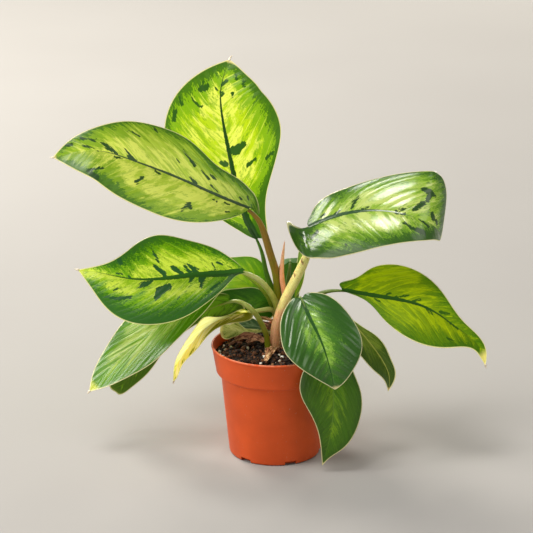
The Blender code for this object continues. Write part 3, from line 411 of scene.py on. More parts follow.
        rib=(60, 100, 34), edge_left=(3, 3, 4, 4, 3), edge_right=(3, 3, 4, 4, 3),
        rib_width=(0.5, 0.4, 0.3, 0.2, 0), reach=8, relief=0.2, vein_gap=8, sweep=(1, 1, 0.5), gloss=0.6,
        seed=14, through=0.2),
    "leaf_narrow": Look(
        pale=(150, 184, 20), body=(104, 146, 10), green=(74, 116, 8), edge=(66, 104, 6), dark=(70, 102, 20),
        rib=(166, 184, 60), edge_left=(1, 1, 1, 1, 1), edge_right=(1, 1, 1, 1, 1),
        rib_width=(0.4, 0.3, 0.3, 0.2, 0), reach=2, relief=0.1, vein_gap=6, sweep=(2, 2, 0.5), gloss=0.36,
        seed=15),
    "leaf_wilted": Look(
        pale=(232, 236, 180), body=(206, 214, 146), green=(176, 190, 116), edge=(120, 138, 70),
        dark=(110, 128, 66), rib=(206, 212, 150), edge_left=(0, 0, 1, 1, 1), edge_right=(0, 0, 1, 1, 1),
        rib_width=(0.5, 0.4, 0.3, 0.2, 0), reach=2, relief=0.35, vein_gap=5, sweep=(1.5, 1.5, 0.5), gloss=0.5,
        seed=16, through=0.3),
    "leaf_grey": Look(
        pale=(132, 152, 128), body=(86, 114, 88), green=(68, 96, 70), edge=(58, 86, 62), dark=(50, 76, 54),
        rib=(134, 154, 130), edge_left=(1, 1, 2, 2, 1), edge_right=(1, 1, 2, 2, 1),
        rib_width=(0.4, 0.3, 0.3, 0.2, 0), reach=3, relief=0.2, vein_gap=5, sweep=(1.5, 1.5, 0.5), gloss=0.34,
        seed=17, through=0.2),
}

# Stalks, from foot to blade, with the colours of their feet and tops
STEM_STALKS = {
    "leaf_top": Stalk([(4, 21, 124), (0, 20, 146), (-9, 20, 174), (-12, 21, 189)], 3.4, 2.0, (92, 124, 20),
                      (78, 128, 34)),
    "leaf_high_left": Stalk([(5, 18, 122), (3.6, 15, 146), (0, 10, 177), (-5, 6, 196), (-10, 3, 215),
                             (-18, -1, 233)], 4.4, 3.4, (128, 134, 14), (156, 122, 36)),
    "leaf_left": Stalk([(4, 15, 124), (1, 11, 143), (-6, 6, 158), (-12, 2, 167), (-21, -2, 175)], 3.5, 2.7,
                       (176, 190, 90), (206, 214, 136)),
    "leaf_low_left": Stalk([(2, 20, 122), (-4, 16, 143), (-12, 10, 158), (-24, 6, 171)], 2.8, 2.0,
                           (130, 152, 40), (156, 184, 66)),
    "leaf_inner_left": Stalk([(4, 22, 116), (1, 25, 131)], 2.4, 1.6, (130, 150, 70), (120, 150, 70)),
    "leaf_yellow": Stalk([(3, 17, 126), (-3, 11, 137), (-13, 4, 139)], 2.8, 2.0, (172, 182, 110),
                         (188, 196, 120)),
    "leaf_right": Stalk([(7, 18, 122), (24, 12, 140), (42, 3, 156)], 3.0, 2.0, (120, 140, 60),
                        (120, 146, 62)),
    "leaf_front": Stalk([(7, 16, 120), (16, -5, 138), (21, -26, 157)], 3.0, 2.2, (120, 140, 60),
                        (110, 140, 60)),
    "leaf_hanging": Stalk([(7, 16, 112), (22, -12, 127), (40, -34, 130)], 3.0, 2.0, (120, 140, 60),
                          (110, 140, 60)),
    "leaf_low_right": Stalk([(8, 20, 114), (30, 8, 131), (50, -6, 142)], 2.8, 1.8, (120, 140, 60),
                            (110, 140, 60)),
    "leaf_back_left": Stalk([(2, 24, 120), (-5, 30, 138)], 2.8, 2.0, (120, 140, 60), (126, 156, 66)),
    "leaf_back": Stalk([(6, 22, 118), (9, 25, 140), (12.5, 25.5, 162)], 3.0, 2.0, (110, 130, 60),
                       (96, 120, 56)),
    "leaf_narrow": Stalk([(7, 19, 126), (15, 14, 141)], 2.4, 1.4, (130, 140, 60), (140, 160, 66)),
    "leaf_wilted": Stalk([(2, 23, 106), (-6, 25, 109)], 1.8, 1.2, (160, 160, 110), (166, 176, 116)),
    "leaf_grey": Stalk([(2, 24, 106), (-4, 28, 110)], 1.8, 1.2, (120, 130, 80), (100, 120, 80)),
}
LONE_STALKS = {
    "leaf_high_right": Stalk([(-0.3, 5.5, 86.3), (-0.3, 5.4, 103), (0, 3.6, 113), (1, 2, 124), (4, 1, 135),
                              (9, 0, 150), (16, 0, 165), (23, 1, 179), (30, 3, 195), (33, 5, 208)], 5.0, 4.5,
                             (255, 192, 152), (255, 244, 162)),
    "leaf_under_left": Stalk([(-7, 0.2, 86.3), (-7, 0.2, 103), (-7.6, -1, 112.5), (-10.5, -4, 123.5),
                              (-16.4, -8, 136.7), (-23.5, -10.5, 146.5), (-33, -6, 151)], 2.9, 2.4,
                             (136, 146, 30), (162, 174, 84)),
}
CROWN = Stalk([(4, 22, 86.3), (4, 22, 108), (4, 19, 134)], 8.5, 5.5, (126, 116, 30), (124, 140, 20))
NEW_LEAF = Stalk([(8.6, 11, 142), (9, 8.2, 151), (7, 8.3, 166), (6.4, 8.6, 178), (7.2, 9, 191), (9, 10, 206)],
                 2.2, 0.3, (255, 174, 136), (255, 196, 160))
NEW_LEAF_RADII = (2.2, 2.5, 2.6, 2.2, 1.5, 0.3)

# Which way each leaf's dry point runs from its tip, in millimetres
TIP_SPURS = {
    "leaf_top": (3.2, 0.0, 3.6),
    "leaf_high_left": (-2.6, 0.0, 0.4),
    "leaf_left": (-3.0, 0.0, 1.0),
    "leaf_low_left": (-1.6, 0.0, -2.4),
    "leaf_right": (1.2, -0.6, -2.6),
    "leaf_yellow": (-0.6, 0.0, -2.0),
}

# Dried sheaths and old root on the soil: each strip's path and its widths along it in millimetres, its whole
# twist and the angle its cross-section curls through in radians
DRY_STRIPS = (
    Strip([(0, -8, 105), (-3, -16, 107), (-6, -25, 106), (-11, -34, 103)], (4, 8, 7, 3), 2.2, 2.0, "tan"),
    Strip([(3, -10, 104), (1, -16, 107), (-3, -22, 105)], (3, 7, 4), -1.5, 2.4, "tan"),
    Strip([(-9, -14, 103), (-6, -18, 107), (-1, -20, 105)], (4, 7, 4), 1.2, 2.0, "tan"),
    Strip([(-2, -20, 105), (-6, -28, 106), (-8, -36, 103)], (3, 6, 2), 2.6, 1.6, "tan"),
    Strip([(-38, 21, 103), (-28, 22, 108), (-18, 20, 108), (-9, 17, 105)], (4, 9, 8, 4), 0.6, 2.4, "brown"),
    Strip([(-27, 14, 103), (-18, 15, 108), (-10, 11, 105)], (4, 8, 5), -0.5, 2.0, "brown"),
    Strip([(-44, 8, 102), (-38, 13, 105), (-31, 14, 103)], (3, 6, 3), 0.8, 2.0, "brown"),
    Strip([(-4.5, 1, 102), (-5.6, 0, 112), (-7.8, -1, 122)], (6, 5, 1), 0.2, 2.6, "tan"),
    Strip([(5, 3, 101), (5.6, 2, 109), (4.4, 2, 116)], (5, 4, 1), -0.2, 2.6, "tan"),
    Strip([(-2, 8, 127), (-9, 7, 130), (-15, 7, 132)], (3, 4, 1), 0.3, 2.0, "tan"),
    Strip([(-1, 15, 115), (-7, 15, 120), (-15, 16, 123)], (5, 8, 3), 0.4, 1.8, "brown"),
    Strip([(20, -1, 171), (19, -2.6, 175), (17.2, -3, 179)], (2.4, 3, 0.8), 0.4, 2.2, "pale"),
    Strip([(29, -1, 193), (30, -2.4, 198), (31, -3, 203)], (2, 4, 3), 0.2, 2.0, "pale"),
    Strip([(27, -2, 186), (25, -3, 190), (25.4, -3.2, 194)], (1.4, 2, 0.8), 0.5, 2.4, "pale"),
    Strip([(-50, 30, 108), (-44, 34, 112), (-37, 38, 113)], (2, 6, 4), 0.3, 1.4, "brown"),
)


class PlantSettings(bpy.types.PropertyGroup):
    """Sizes and counts that a user may change."""

    blade_thickness: bpy.props.FloatProperty(
        name="Blade thickness", description="Thickness of a leaf away from its midrib", default=0.0005,
        min=0.0002, max=0.0015, unit="LENGTH")
    blade_step: bpy.props.FloatProperty(
        name="Blade step", description="Spacing of a leaf's rows and columns of faces", default=0.00125,
        min=0.001, max=0.01, unit="LENGTH")
    stalk_sides: bpy.props.IntProperty(
        name="Stalk sides", description="Sides of a stalk's tube", default=24, min=8, max=48)
    through_light: bpy.props.FloatProperty(
        name="Light through", description="Scales how much light the blades let through", default=1.0,
        min=0.0, max=1.5, subtype="FACTOR")


class PotSettings(bpy.types.PropertyGroup):
    """The pot's and the soil's sizes and colours."""

    rim_radius: bpy.props.FloatProperty(
        name="Rim radius", description="Outer radius of the pot's rim", default=0.0602, unit="LENGTH")
    wall: bpy.props.FloatProperty(
        name="Wall", description="Thickness of the pot's wall", default=0.0015, unit="LENGTH")
    colour: bpy.props.FloatVectorProperty(
        name="Pot colour", description="Colour of the pot's plastic", default=(0.76, 0.106, 0.020), size=3,
        min=0.0, max=1.0, subtype="COLOR")
    crumbs: bpy.props.IntProperty(
        name="Crumbs", description="Loose crumbs on the soil", default=1300, min=0, max=4000)
    perlite: bpy.props.IntProperty(
        name="Perlite", description="White grains in the soil", default=80, min=0, max=400)
    bark: bpy.props.IntProperty(
        name="Bark", description="Chips of bark on the soil", default=120, min=0, max=400)


def screen(colour):
    """A colour of 0 to 255 screen values as linear values of 0 to 1, with full opacity."""
    share = np.asarray(colour, float) / 255
    low = share / 12.92
    high = ((share + 0.055) / 1.055) ** 2.4
    return (*np.where(share <= 0.04045, low, high), 1.0)


# Curves and noise


def spline(knots, values, where):
    """Natural cubic spline through values at knots, read at where."""
    knots = np.asarray(knots, float)
    values = np.asarray(values, float)
    count = len(knots)
    gaps = np.diff(knots)
    matrix = np.eye(count)
    target = np.zeros_like(values)
    for i in range(1, count - 1):
        matrix[i, i - 1:i + 2] = gaps[i - 1], 2 * (gaps[i - 1] + gaps[i]), gaps[i]
        target[i] = 6 * ((values[i + 1] - values[i]) / gaps[i] - (values[i] - values[i - 1]) / gaps[i - 1])
    bend = np.linalg.solve(matrix, target)
    k = np.clip(np.searchsorted(knots, where) - 1, 0, count - 2)
    gap = gaps[k][:, None]
    before = ((knots[k + 1] - where) / gaps[k])[:, None]
    after = 1 - before
    curved = (before ** 3 - before) * bend[k] + (after ** 3 - after) * bend[k + 1]
    return before * values[k] + after * values[k + 1] + curved * gap ** 2 / 6


def curve_through(points, shares):
    """Points at the given shares of the length of a smooth curve through the given ones, and its length."""
    points = np.asarray(points, float)
    knots = np.concatenate([[0], np.cumsum(np.linalg.norm(np.diff(points, axis=0), axis=1))])
    fine = spline(knots, points, np.linspace(0, knots[-1], CURVE_SAMPLES))
    run = np.concatenate([[0], np.cumsum(np.linalg.norm(np.diff(fine, axis=0), axis=1))])
    wanted = np.asarray(shares) * run[-1]
    return np.stack([np.interp(wanted, run, column) for column in fine.T], -1), run[-1]


def unit(vectors):
    """The vectors at length one."""
    return vectors / np.maximum(np.linalg.norm(vectors, axis=-1, keepdims=True), 1e-12)


def read_along(field, share):
    """Rows of field at the given shares of its length."""
    at = share * (len(field) - 1)
    return np.stack([np.interp(at, np.arange(len(field)), column) for column in field.T], -1)


def at_shares(values, share):
    """Values given at even steps from base to tip, read at the given shares."""
    return np.interp(share, np.linspace(0, 1, len(values)), values)


def smooth_step(value, low, high):
    """0 below low and 1 above high, with an S-shaped rise between them."""
    share = np.clip((value - low) / (high - low), 0, 1)
    return share * share * (3 - 2 * share)


def value_noise(x, y, cell, seed):
    """Random values of 0 to 1 on a square lattice of cells, blended by S-shaped steps between its corners."""
    table = np.random.default_rng(seed).random((64, 64))
    across, down = x / cell, y / cell
    i, j = np.floor(across).astype(int), np.floor(down).astype(int)
    s, t = smooth_step(across - i, 0, 1), smooth_step(down - j, 0, 1)
    low = table[i % 64, j % 64] * (1 - s) + table[(i + 1) % 64, j % 64] * s
    high = table[i % 64, (j + 1) % 64] * (1 - s) + table[(i + 1) % 64, (j + 1) % 64] * s
    return low * (1 - t) + high * t


# Meshes


def grid_faces(rows, columns, closed=False):
    """Quads between neighbouring points of a rows by columns grid, closed round its columns where asked."""
    row = np.arange(rows - 1)[:, None]
    column = np.arange(columns if closed else columns - 1)[None, :]
    beside = (column + 1) % columns
    corners = [row * columns + column, row * columns + beside, (row + 1) * columns + beside,
               (row + 1) * columns + column]
    return np.stack(corners, -1).reshape(-1, 4)


def grid_outline(rows, columns):
    """The outline of a grid as one closed loop of point numbers."""
    first = np.arange(columns)
    right = (np.arange(1, rows) + 1) * columns - 1
    last = (rows - 1) * columns + np.arange(columns - 2, -1, -1)
    left = np.arange(rows - 2, 0, -1) * columns
    return np.concatenate([first, right, last, left])


def sheet_faces(rows, columns):
    """Quads of a closed sheet: a grid, the same turned over behind it, and a strip round their outlines."""
    count = rows * columns
    grid = grid_faces(rows, columns)
    rim = grid_outline(rows, columns)
    beside = np.roll(rim, -1)
    strip = np.stack([rim, beside, beside + count, rim + count], -1)
    return np.concatenate([grid, grid[:, ::-1] + count, strip])


def sheet_normals(middle):
    """The directions across a grid of points: the cross product of its steps down the rows and along them."""
    return unit(np.cross(np.gradient(middle, axis=0), np.gradient(middle, axis=1)))


def make_mesh(name, points, quads, triangles=None, attributes=None):
    """A smooth mesh object from arrays of points, quads and triangles, with vector attributes."""
    triangles = np.zeros((0, 3), int) if triangles is None else np.asarray(triangles)
    quads = np.zeros((0, 4), int) if quads is None else np.asarray(quads)
    loops = np.concatenate([quads.ravel(), triangles.ravel()]).astype(np.int32)
    sizes = np.concatenate([np.full(len(quads), 4), np.full(len(triangles), 3)]).astype(np.int32)
    mesh = bpy.data.meshes.new(name)
    mesh.vertices.add(len(points))
    mesh.vertices.foreach_set("co", np.asarray(points, np.float32).ravel())
    mesh.loops.add(len(loops))
    mesh.loops.foreach_set("vertex_index", loops)
    mesh.polygons.add(len(sizes))
    starts = np.concatenate([[0], np.cumsum(sizes)[:-1]]).astype(np.int32)
    mesh.polygons.foreach_set("loop_start", starts)
    mesh.polygons.foreach_set("loop_total", sizes)
    mesh.update(calc_edges=True)
    for key, values in (attributes or {}).items():
        layer = mesh.attributes.new(key, "FLOAT_VECTOR", "POINT")
        layer.data.foreach_set("vector", np.asarray(values, np.float32).ravel())
    mesh.validate()
    turn_outwards(mesh)
    mesh.shade_smooth()
    thing = bpy.data.objects.new(name, mesh)
    bpy.context.scene.collection.objects.link(thing)
    return thing


def turn_outwards(mesh):
    """Turns every face of a closed mesh outwards."""
    work = bmesh.new()
    work.from_mesh(mesh)
    bmesh.ops.recalc_face_normals(work, faces=work.faces)
    work.to_mesh(mesh)
    work.free()


def make_rings(name, rings, ends, attributes=None):
    """A closed body of rings of points, each joined to the next, with a fan to a point at each end."""
    rows, sides = rings.shape[:2]
    step = np.arange(sides)
    beside = (step + 1) % sides
    last = (rows - 1) * sides
    low, high = np.full(sides, rows * sides), np.full(sides, rows * sides + 1)
    fans = [np.stack([beside, step, low], -1), np.stack([last + step, last + beside, high], -1)]
    points = np.concatenate([rings.reshape(-1, 3), ends])
    quads = grid_faces(rows, sides, closed=True)
    return make_mesh(name, points, quads, np.concatenate(fans), attributes)


def dress(thing, node, material):
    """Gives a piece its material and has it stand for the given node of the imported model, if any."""
    thing.data.materials.append(material)
    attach(thing, "root")
    if node:
        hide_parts(node)
    return thing


# Leaf blades


class BladeForm:
    """A leaf blade's bent sheet: maps (along, across) in its own plane to space."""

    def __init__(self, leaf):
        self.leaf = leaf
        self.rib, self.length = curve_through(np.array(leaf.rib) * MM, np.linspace(0, 1, RIB_SAMPLES))
        self.along = unit(np.gradient(self.rib, axis=0))
        facing = read_along(np.array(leaf.faces, float), np.linspace(0, 1, RIB_SAMPLES))
        self.side = unit(np.cross(self.along, facing))
        self.up = np.cross(self.side, self.along)

    def arc(self, across):
        """How far out and up each half runs: an arc whose slope turns evenly from midrib to margin."""
        leaf = self.leaf
        is_left = across < 0
        first = np.radians(np.where(is_left, leaf.left_bend[0], leaf.right_bend[0]))
        turn = np.radians(np.where(is_left, leaf.left_bend[1], leaf.right_bend[1])) - first
        turn = np.where(np.abs(turn) < 1e-4, 1e-4, turn)
        span = leaf.span * MM
        reach = np.abs(across) / span
        out = span * (np.sin(first + turn * reach) - np.sin(first)) / turn
        lift = span * (np.cos(first) - np.cos(first + turn * reach)) / turn
        return out, lift, reach

    def place(self, along, across):
        """The midrib's point plus each half's arc, the margin's wave and the lobes' shift.

        The wave is a sine along the leaf that grows with the square of the way out, and the shift grows with
        the square of the way behind the midrib's base.
        """
        share = np.clip(along / self.length, 0, 1)
        base = read_along(self.rib, share)
        base = base + read_along(self.along, share) * (along - share * self.length)[..., None]
        out, lift, reach = self.arc(across)
        waves, height, phase = self.leaf.wave
        angle = 2 * math.pi * waves * share + phase + np.where(across < 0, 0, WAVE_SIDE_LAG)
        lift = lift + height * MM * reach ** 2 * np.sin(angle)
        behind = (np.minimum(along, 0) / LOBE_REACH) ** 2
        base = base + behind[..., None] * np.array(self.leaf.lobe_shift) * MM
        sideways = read_along(self.side, share) * (np.sign(across) * out)[..., None]
        return base + sideways + read_along(self.up, share) * lift[..., None]

    def margin(self, points, shares):
        """A margin's rows of (along, across), from the stalk's joint round to the tip."""
        outline = np.array([(0, JOINT_HALF_WIDTH), *points, (self.length / MM, 0)]) * MM
        return curve_through(outline, shares)[0]


BladePlan = namedtuple("BladePlan", "along across outward width")


def blade_plan(name, step):
    """A blade's form and its flat grid: each point's along, across, outward share and half's width.

    A row runs from its midrib point to its margin point along a power curve, as a lateral vein does.
    """
    form, leaf = BladeForm(LEAVES[name]), LEAVES[name]
    widest = max(across for along, across in leaf.left + leaf.right) * MM
    rows, columns = int(form.length / step) + 1, int(widest / step) + 1
    share = np.linspace(0, 1, rows + 1)
    share[-1] = LAST_ROW
    left = form.margin(leaf.left, share)
    right = form.margin(leaf.right, share)
    vein = form.length * share ** ROW_CROWDING
    outward = np.linspace(-1, 1, 2 * columns + 1)
    outward = np.sign(outward) * np.abs(outward) ** COLUMN_CROWDING
    edge = np.where(outward[None, :, None] < 0, left[:, None], right[:, None])
    along = vein[:, None] + (edge[..., 0] - vein[:, None]) * np.abs(outward)[None] ** VEIN_SWEEP
    outward_at = np.broadcast_to(outward[None], along.shape)
    return form, BladePlan(along, outward[None] * edge[..., 1], outward_at, np.abs(edge[..., 1]))


def stroke_field(strokes, along, across):
    """How far inside the nearest stroke a point lies, in millimetres, negative outside.

    A stroke runs between two points, and its radius changes evenly from one to the other.
    """
    field = np.full(across.shape, -12.0)
    for x1, y1, radius1, x2, y2, radius2 in strokes:
        dx, dy = x2 - x1, y2 - y1
        share = np.clip(((along / MM - x1) * dx + (across / MM - y1) * dy) / (dx * dx + dy * dy), 0, 1)
        distance = np.hypot(along / MM - x1 - share * dx, across / MM - y1 - share * dy)
        field = np.maximum(field, radius1 + (radius2 - radius1) * share - distance)
    return field


def vein_places(look, plan):
    """Where on the midrib the lateral vein through each point starts, with uneven gaps between the veins.

    A vein runs forward on its way outward by its slope and by the square of that way. Two slow waves along
    the midrib make the gaps uneven.
    """
    slope = np.where(plan.across < 0, look.sweep[0], look.sweep[1])
    reach = np.abs(plan.across)
    vein = plan.along - slope * reach - look.sweep[2] * reach ** 2 / max(plan.width.max(), 1e-6)
    gap = look.vein_gap * MM
    turn = vein / gap
    waves = np.sin(1.7 * turn + look.seed) + np.sin(2.9 * turn + 2 * look.seed)
    return vein + VEIN_UNEVENNESS * gap * waves


def vein_relief(look, vein, plan):
    """Quilting: a rounded ridge between every two lateral veins, flat at midrib and margin."""
    outward = np.abs(plan.outward)
    crest = 0.5 - 0.5 * np.cos(vein / (look.vein_gap * MM) * 2 * math.pi)
    reach = smooth_step(outward, 0.02, 0.2) * (1 - smooth_step(outward, 0.75, 1))
    relief = look.relief * MM * (crest ** 0.6 - 0.6) * reach * smooth_step(plan.width, 0.0, 0.012)
    return relief * np.where(plan.outward > 0, look.right_relief, 1.0)


def blade_attributes(look, form, plan, vein, inside):
    """What a blade's material reads at each point, as vectors, in millimetres where nothing else is said.

    Blade holds the vein's place in centimetres, the outward share, and 1 on the underside. Marks holds the
    depth in the nearest dark stroke, the depth in the dark margin and the way across from the midrib. Edges
    holds the distance from the margin, the midrib's half width and the pale tip's share. Glow holds the depth
    in the nearest bright stroke and the row's share from base to tip.
    """
    none = np.zeros_like(plan.along)
    row_share = np.linspace(0, 1, len(none))[:, None]
    edge_left, edge_right = at_shares(look.edge_left, row_share), at_shares(look.edge_right, row_share)
    edge = np.where(plan.outward < 0, edge_left, edge_right)
    rib_width = np.broadcast_to(at_shares(look.rib_width, row_share), none.shape)
    tip_start = form.length / MM - look.tip_length
    tip = smooth_step(plan.along / MM, tip_start, tip_start + look.tip_length * 0.5)
    mark = stroke_field(look.marks, plan.along, plan.across)
    glow = stroke_field(look.glow, plan.along, plan.across)
    vectors = {
        "blade": [vein * 100, plan.outward, none],
        "marks": [mark, edge - inside / MM, plan.across / MM],
        "edges": [inside / MM, rib_width, tip],
        "glow": [glow, np.broadcast_to(row_share, none.shape), none],
    }
    attributes = {key: np.tile(np.stack(values, -1).reshape(-1, 3), (2, 1))
                  for key, values in vectors.items()}
    attributes["blade"][none.size:, 2] = 1
    return attributes


def make_blade(name, settings):
    """A leaf: its bent sheet, quilted, with a bell-shaped groove along the midrib above and ridge below."""
    look = LOOKS[name]
    form, plan = blade_plan(name, settings.blade_step)
    vein = vein_places(look, plan)
    middle = form.place(plan.along, plan.across)
    normal = -sheet_normals(middle)
    share = np.clip(plan.along / form.length, 0, 1)
    relief = vein_relief(look, vein, plan)
    groove = GROOVE_DEPTH * np.exp(-(plan.across / GROOVE_WIDTH) ** 2) * (1 - 0.6 * share)
    ridge = RIDGE_HEIGHT * np.exp(-(plan.across / RIDGE_WIDTH) ** 2) * (1 - 0.85 * share)
    inside = plan.width * (1 - np.abs(plan.outward))
    thinning = MARGIN_SHARE + (1 - MARGIN_SHARE) * smooth_step(inside, 0, MARGIN_TAPER)
    half = settings.blade_thickness / 2 * thinning
    top = middle + normal * (half + relief - groove)[..., None]
    under = middle - normal * (half - relief + ridge)[..., None]
    points = np.concatenate([top.reshape(-1, 3), under.reshape(-1, 3)])
    attributes = blade_attributes(look, form, plan, vein, inside)
    return make_mesh(name + "_blade", points, sheet_faces(*plan.along.shape), attributes=attributes)


# Stalks


def carried_frames(centres, start):
    """Directions across a path, turned as little as possible from its first point's."""
    along = unit(np.gradient(centres, axis=0))
    across = np.empty_like(centres)
    current = np.asarray(start, float)
    for i, direction in enumerate(along):
        current = unit(current - direction * (current @ direction))
        across[i] = current
    return across, np.cross(along, across)


def tube(name, route, radii, sides, start=(1.0, 0.0, 0.0), groove=0.0, spacing=0.0016):
    """A stalk: round rings along a smooth path, with a bell-shaped groove along the start direction.

    The radius follows the given radii from end to end and closes in by a square root over each rounded end.
    """
    length = curve_through(route, [0, 1])[1]
    count = max(12, int(length / spacing))
    share = np.linspace(0, 1, count)
    centres = curve_through(route, share)[0]
    across, other = carried_frames(centres, start)
    turns = np.linspace(0, 2 * math.pi, sides, endpoint=False)
    size = at_shares(radii, share)
    dent = groove * np.exp(-(np.angle(np.exp(1j * turns)) / GROOVE_ARC) ** 2)
    ends = np.sqrt(np.clip(np.minimum(share, 1 - share) * length / (size * STALK_END), 0, 1)) * 0.999 + 0.001
    ring = (size * ends)[:, None] * (1 - dent)[None]
    spokes = np.cos(turns)[None, :, None] * across[:, None] + np.sin(turns)[None, :, None] * other[:, None]
    run = share[:, None]
    centimetres = length * 100
    place = np.stack(np.broadcast_arrays(run, turns[None] / (2 * math.pi), centimetres * run), -1)
    attributes = {"stalk": np.concatenate([place.reshape(-1, 3), [[0, 0, 0], [1, 0, centimetres]]])}
    return make_rings(name, centres[:, None] + ring[..., None] * spokes, centres[[0, -1]], attributes)


def stalk_route(stalk, form):
    """A stalk's path on to its blade's base and a little way along under the midrib."""
    top = stalk.top_radius * MM
    route = np.array(stalk.route, float) * MM
    up = form.up[0]
    direction = unit(form.rib[0] - route[-1])
    tilt = math.sqrt(max(0.0, 1 - float(direction @ up) ** 2))
    joint = form.rib[0] - up * (CAD_THICKNESS / 2 + GAP + top * tilt)
    run_on = form.place(np.array(min(0.012, form.length * 0.15)), np.array(0.0)) - up * (0.5 * top)
    return np.concatenate([route, joint[None], run_on[None]])


def tip_spur(name, way):
    """The fine dry point at a leaf's tip: a tube from the midrib's end that bends over to the given way."""
    form = BladeForm(LEAVES[name])
    end, forward = form.rib[-1], form.along[-1]
    length = np.linalg.norm(way) * MM
    route = np.array([end - forward * 2 * MM, end, end + forward * 0.3 * length + np.array(way) * 0.5 * MM,
                      end + np.array(way) * MM])
    radii = np.array(SPUR_RADII) * MM
    return tube(name + "_spur", route, radii, SPUR_SIDES, form.side[-1], spacing=SPUR_SPACING)


# Materials


class Nodes:
    """Short ways to add nodes to a tree and join them."""

    def __init__(self, tree):
        self.tree = tree

    def add(self, kind, inputs=None, **settings):
        """A new node with the given settings and inputs."""
        node = self.tree.nodes.new(kind)
        for key, value in settings.items():
            setattr(node, key, value)
        for key, value in (inputs or {}).items():
            self.join(value, node.inputs[key])
        return node

    def join(self, value, socket):
        """Links an output to a socket, or sets the socket to a plain value."""
        if isinstance(value, bpy.types.NodeSocket):
            self.tree.links.new(value, socket)
        else:
            socket.default_value = value

    def math(self, operation, first, second=0.0):
        return self.add("ShaderNodeMath", {0: first, 1: second}, operation=operation).outputs[0]

    def plus(self, first, second):
        return self.math("ADD", first, second)

    def minus(self, first, second):
        return self.math("SUBTRACT", first, second)

    def times(self, first, second):
        return self.math("MULTIPLY", first, second)

    def rest(self, value):
        """One less the value."""
        return self.math("SUBTRACT", 1.0, value)

    def size(self, value):
        """The value without its sign."""
        return self.math("ABSOLUTE", value)

    def weigh(self, *pairs):
        """The sum of values times weights."""
        total = self.times(*pairs[0])
        for value, weight in pairs[1:]:
            total = self.plus(total, self.times(value, weight))
        return total

    def step(self, value, low, high):
        """0 below low and 1 above high, with a smooth rise."""
        inputs = {"Value": value, "From Min": low, "From Max": high}
        return self.add("ShaderNodeMapRange", inputs, interpolation_type="SMOOTHSTEP").outputs["Result"]

    def mix(self, factor, first, second, blend="MIX"):
        """Two colours mixed by a factor, which is the first at 0."""
        inputs = {0: factor, 6: first, 7: second}
        return self.add("ShaderNodeMix", inputs, data_type="RGBA", blend_type=blend).outputs[2]

    def noise(self, vector, scale, detail=2.0, roughness=0.5):
        inputs = {"Vector": vector, "Scale": scale, "Detail": detail, "Roughness": roughness}
        return self.add("ShaderNodeTexNoise", inputs).outputs["Fac"]

    def noise_at(self, x, y, z, scales, detail=2.0, roughness=0.5):
        """Noise at x and y times their scales, and z."""
        place = self.join_axes(self.times(x, scales[0]), self.times(y, scales[1]), z)
        return self.noise(place, 1.0, detail, roughness)

    def split(self, vector):
        return self.add("ShaderNodeSeparateXYZ", {"Vector": vector}).outputs

    def join_axes(self, x, y, z):
        return self.add("ShaderNodeCombineXYZ", {"X": x, "Y": y, "Z": z}).outputs["Vector"]

    def attribute(self, name):
        return self.add("ShaderNodeAttribute", attribute_name=name).outputs["Vector"]

    def place(self):
        """The point's own place on its object."""
        return self.add("ShaderNodeTexCoord").outputs["Object"]

    def bump(self, height, strength, distance):
        inputs = {"Height": height, "Strength": strength, "Distance": distance}
        return self.add("ShaderNodeBump", inputs).outputs["Normal"]


def new_group(name, inputs, outputs):
    """An empty shader node group with the given sockets, as (name, type, default) and (name, type)."""
    group = bpy.data.node_groups.new(name, "ShaderNodeTree")
    for label, kind, default in inputs:
        socket = group.interface.new_socket(label, in_out="INPUT", socket_type="NodeSocket" + kind)
        if default is not None:
            socket.default_value = default
    for label, kind in outputs:
        group.interface.new_socket(label, in_out="OUTPUT", socket_type="NodeSocket" + kind)
    entry = group.nodes.new("NodeGroupInput").outputs
    leave = group.nodes.new("NodeGroupOutput").inputs
    return group, Nodes(group), entry, leave


class Mosaic:
    """A blade's mosaic of small cells, long in the veins' direction, and the noises that its colours read.

    Noise is read mostly at a cell's own point and partly at the shaded point, so the edges between colours
    run out in short teeth along the veins.
    """

    def __init__(self, n, entry):
        self.n, self.seed = n, entry["Seed"]
        self.marks, self.edges = n.split(entry["Marks"]), n.split(entry["Edges"])
        self.along, self.across = n.split(entry["Blade"])["X"], n.times(self.marks["Z"], 0.1)
        place = n.join_axes(n.times(self.along, CELLS_ALONG), n.times(self.across, CELLS_ACROSS), self.seed)
        cells = n.add("ShaderNodeTexVoronoi", {"Vector": place, "Scale": 1.0}).outputs
        cell = n.split(cells["Position"])
        self.cell_along = n.weigh((cell["X"], CELL_SHARE / CELLS_ALONG), (self.along, 1 - CELL_SHARE))
        self.cell_across = n.weigh((cell["Y"], CELL_SHARE / CELLS_ACROSS), (self.across, 1 - CELL_SHARE))
        self.chance = n.minus(n.split(cells["Color"])["X"], 0.5)
        self.teeth, self.patches = self.clouds(3.2, 1.3, 0.0), self.clouds(1.1, 0.7, 7.0)
        dots = self.grain(12.0, 9.0, 1.0)
        self.grains = n.times(n.weigh((self.chance, 0.12), (dots, 1.0)), entry["Speckle"])
        ragged = n.weigh((self.patches, 18.0), (self.teeth, 12.0))
        self.glow = n.step(n.plus(n.split(entry["Glow"])["X"], ragged), -5.0, 5.0)

    def clouds(self, along, outward, offset):
        """Noise about zero, much the same over each cell, with its clouds long in the veins' direction."""
        n = self.n
        place = n.plus(self.seed, offset)
        return n.minus(n.noise_at(self.cell_along, self.cell_across, place, (along, outward), 3.0, 0.6), 0.5)

    def grain(self, along, outward, detail):
        """Noise about zero, read at the shaded point and so finer than a cell."""
        noise = self.n.noise_at(self.along, self.across, self.seed, (along, outward), detail)
        return self.n.minus(noise, 0.5)


